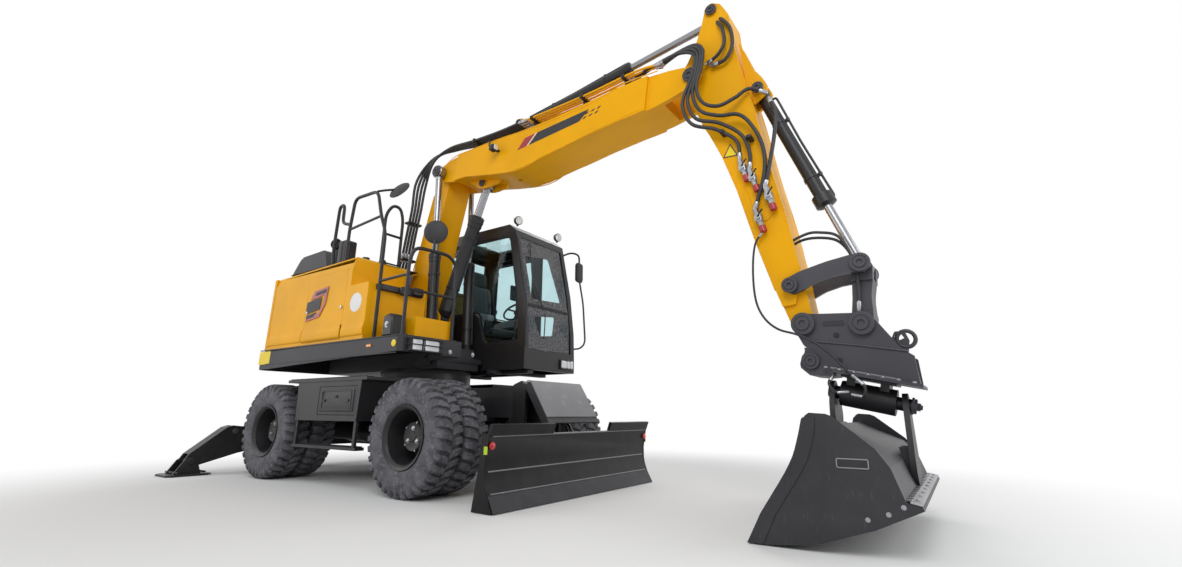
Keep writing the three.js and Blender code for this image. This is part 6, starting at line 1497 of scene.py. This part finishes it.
def bucket_fittings():
    """Lip, side bands, the toothed levelling strip behind, bolts and the blank plate."""
    low_y, high_y = -1.0, 0.8
    edge, band, teeth, bolts, blank, rim = (Form() for _ in range(6))
    swept(edge, [(4.322, 0.007), (4.440, 0.0065), (4.440, 0.012), (4.400, 0.036), (4.345, 0.030)],
          low_y + 0.004, high_y - 0.004)
    line = softened([(4.700, 0.735, 0.02), (4.674, 0.640, 0.02), (4.622, 0.480, 0.15), (4.415, 0.180),
                     (4.322, 0.0075), (4.420, 0.0075), (4.505, 0.180), (4.715, 0.480, 0.15),
                     (4.762, 0.640, 0.02), (4.778, 0.735, 0.02)], 0.01, 4)
    for y in (low_y, high_y):
        out = -0.007 if y < 0 else 0.007
        band.plate(line, y, y + out, "y", 0.003)
        for x, z in ((4.996, 0.200), (5.100, 0.236), (5.175, 0.278)):
            bolts.bolt((x, y, z), (0, np.sign(out), 0), 0.009, 0.012)
    for y in np.arange(low_y + 0.03, high_y - 0.08, 0.110):
        teeth.plate(np.array([(5.215, y), (5.215, y + 0.074), (5.186, y + 0.062), (5.186, y + 0.012)]), 0.302,
                    0.312, "z", 0.002)
    teeth.plate(np.array([(5.206, 0.299), (5.262, 0.287), (5.264, 0.296), (5.208, 0.309)]), low_y + 0.004,
                high_y - 0.004, "y", 0.002)
    for y in np.linspace(low_y + 0.12, high_y - 0.12, 9):
        bolts.bolt((5.236, y, 0.302), (0.2, 0, 0.98), 0.009, 0.008)
    rim.border(softened([(4.866, 0.458), (5.034, 0.458), (5.034, 0.512), (4.866, 0.512)], 0.010, 3), 0.006,
               low_y, low_y - 0.006)
    blank.plate(softened([(4.870, 0.462), (5.030, 0.462), (5.030, 0.508), (4.870, 0.508)], 0.008, 3), low_y,
                low_y - 0.004, "y", 0.001)
    piece("bucket_lip", edge, EDGE, "bucket")
    piece("bucket_bands", band, STEEL, "bucket")
    piece("bucket_levelling_teeth", teeth, EDGE, "bucket")
    piece("bucket_bolts", bolts, BOLT, "bucket")
    piece("bucket_blank_plate", blank, BLACK, "bucket")
    piece("bucket_plate_rim", rim, TRIM, "bucket")


def coupler_fittings():
    """Flange screws, weld beads, dark discs painted as the shade in the lock holes, the lifting ring, the
    turning unit's nut and its hoses.
    """
    bolts, steel, blank, bead, hole_shade = (Form() for _ in range(5))
    for side in (-1, 1):
        y = BOOM_Y + side * 0.181
        steel.pipe([(4.640, y, 1.270), (4.960, y, 1.218), (5.255, y, 1.160)], 0.008, 8)
        bead.pipe([(4.760, y, 1.072), (4.960, y, 1.026), (5.190, y, 0.973)], 0.008, 8)
        # Thin dark discs on the side plates are painted shade that stands for the lock holes.
        for x, z in ((4.822, 1.300), (4.826, 1.120)):
            hole_shade.turned([(0.020, 0), (0.020, 0.002), (0.016, 0.003)], (x, y, z), (0, side, 0), 20)
    axle = np.array([0.550, 0, -0.122])
    tip = np.array([4.690, BOOM_Y, 0.925]) + axle * 0.955
    steel.turned([(0.058, 0), (0.058, 0.012), (0.050, 0.016), (0.050, 0.030), (0.032, 0.032)], tip, axle, 32)
    steel.turned([(0.030, 0.030), (0.030, 0.052), (0.018, 0.054), (0.018, 0.064)], tip, axle, 6)
    for share in np.linspace(0.06, 0.94, 7):
        x, z = 4.700 + share * 0.600, 1.071 - share * 0.138
        for side in (-1, 1):
            bolts.bolt((x, BOOM_Y + side * 0.218, z + 0.008), (0.22, 0, 0.975), 0.013, 0.012)
    turn = np.linspace(0, 2 * np.pi, 12, endpoint=False)
    ring = np.stack([0.057 + 0.014 * np.cos(turn), 0.014 * np.sin(turn)], axis=1)
    steel.turned(ring, (5.240, BOOM_Y, 1.264), (0, 1, 0), 40, looped=True)
    blank.plate(softened([(4.740, 1.372), (4.880, 1.366), (4.880, 1.402), (4.740, 1.408)], 0.006, 3),
                BOOM_Y - 0.181, BOOM_Y - 0.184, "y", 0.0008)
    piece("coupler_screws", bolts, BOLT, "coupler")
    piece("coupler_steel_parts", steel, GREY, "coupler")
    piece("coupler_blank_plate", blank, SATIN, "coupler")
    piece("coupler_flange_weld", bead, TRIM, "coupler")
    piece("coupler_lock_hole_shade", hole_shade, SEAL, "coupler")
    for letter, route in (("a", [(4.930, -0.335, 0.985), (4.975, -0.350, 0.930), (4.960, -0.340, 0.870),
                                 (4.900, -0.325, 0.880)]),
                          ("b", [(4.780, -0.300, 1.020), (4.750, -0.345, 0.960), (4.790, -0.350, 0.900),
                                 (4.850, -0.330, 0.900)])):
        hose("turning_unit_hose_" + letter, route, ("coupler",), 0.010)


blade_fittings()
bucket_fittings()
coupler_fittings()


# ---------------------------------------------------------------------------------------------
# Chassis: steps, latches, drive line and feet
# ---------------------------------------------------------------------------------------------
def chassis_fittings():
    """Serrated treads, the tool box doors' latches and frames, the drive shaft and the brake pipes."""
    steps, latches, drive = Form(), {"left": Form(), "right": Form()}, Form()
    for side in (-1, 1):
        for y0, z in ((1.110, 0.4055), (1.170, 1.0955), (1.100, 1.0955)):
            span = np.arange(-0.680, 0.500, 0.040) if z < 1 else np.arange(-0.900, 0.580, 0.040)
            across = sorted((side * y0, side * (y0 + 0.030)))
            for x in span:
                steps.brick((x, x + 0.012), across, (z - 0.001, z + 0.010), 0.002)
        form = latches["left" if side > 0 else "right"]
        for x, z in ((-0.140, 0.860), (0.300, 0.860), (0.080, 0.900)):
            form.brick((x - 0.022, x + 0.022), sorted((side * 1.205, side * 1.216)), (z - 0.014, z + 0.014),
                       0.004)
        form.border(softened([(-0.190, 0.765), (0.360, 0.765), (0.360, 0.965), (-0.190, 0.965)], 0.02, 4),
                    0.012, side * 1.2055, side * 1.2105)
    drive.rod((-1.080, 0.0, 0.560), (1.080, 0.0, 0.560), 0.045, 24)
    for x in (-1.02, 1.02):
        drive.turned([(0.060, -0.05), (0.085, -0.04), (0.085, 0.04), (0.060, 0.05)], (x, 0, 0.56), (1, 0, 0),
                     24)
    for side in (-1, 1):
        drive.bent([(-1.200, side * 0.300, 0.690), (-0.600, side * 0.340, 0.720),
                    (0.600, side * 0.340, 0.720), (1.200, side * 0.300, 0.690)], 0.010, 0.10, 8)
    piece("step_teeth", steps, GREY, "chassis")
    for hand, form in latches.items():
        piece("tool_box_latches_" + hand, form, SATIN, "tool_box_door_" + hand)
    piece("drive_line", drive, BLACK, "chassis")


def outrigger_fittings():
    """The leg's pin heads and the ribbed foot of each outrigger."""
    for hand, side in SIDES.items():
        pins, ribs = Form(), Form()
        for x in (-2.463, -2.237):
            out = np.sign(x + 2.35)
            pins.turned([(0.034, 0), (0.034, 0.010), (0.026, 0.014)], (x, side * 1.134, 0.500), (out, 0, 0),
                        24)
        piece("outrigger_pins_" + hand, pins, GREY, "outrigger_leg_" + hand)
        for y in (1.42, 1.70):
            ribs.brick((-2.530, -2.170), sorted((side * y - 0.008, side * y + 0.008)), (0.030, 0.052), 0.003)
        ribs.turned([(0.026, 0), (0.026, 0.008), (0.018, 0.012)], (-2.240, side * 1.561, 0.159), (1, 0, 0),
                    20)
        piece("outrigger_foot_ribs_" + hand, ribs, BLACK, "outrigger_pad_" + hand)


chassis_fittings()
outrigger_fittings()
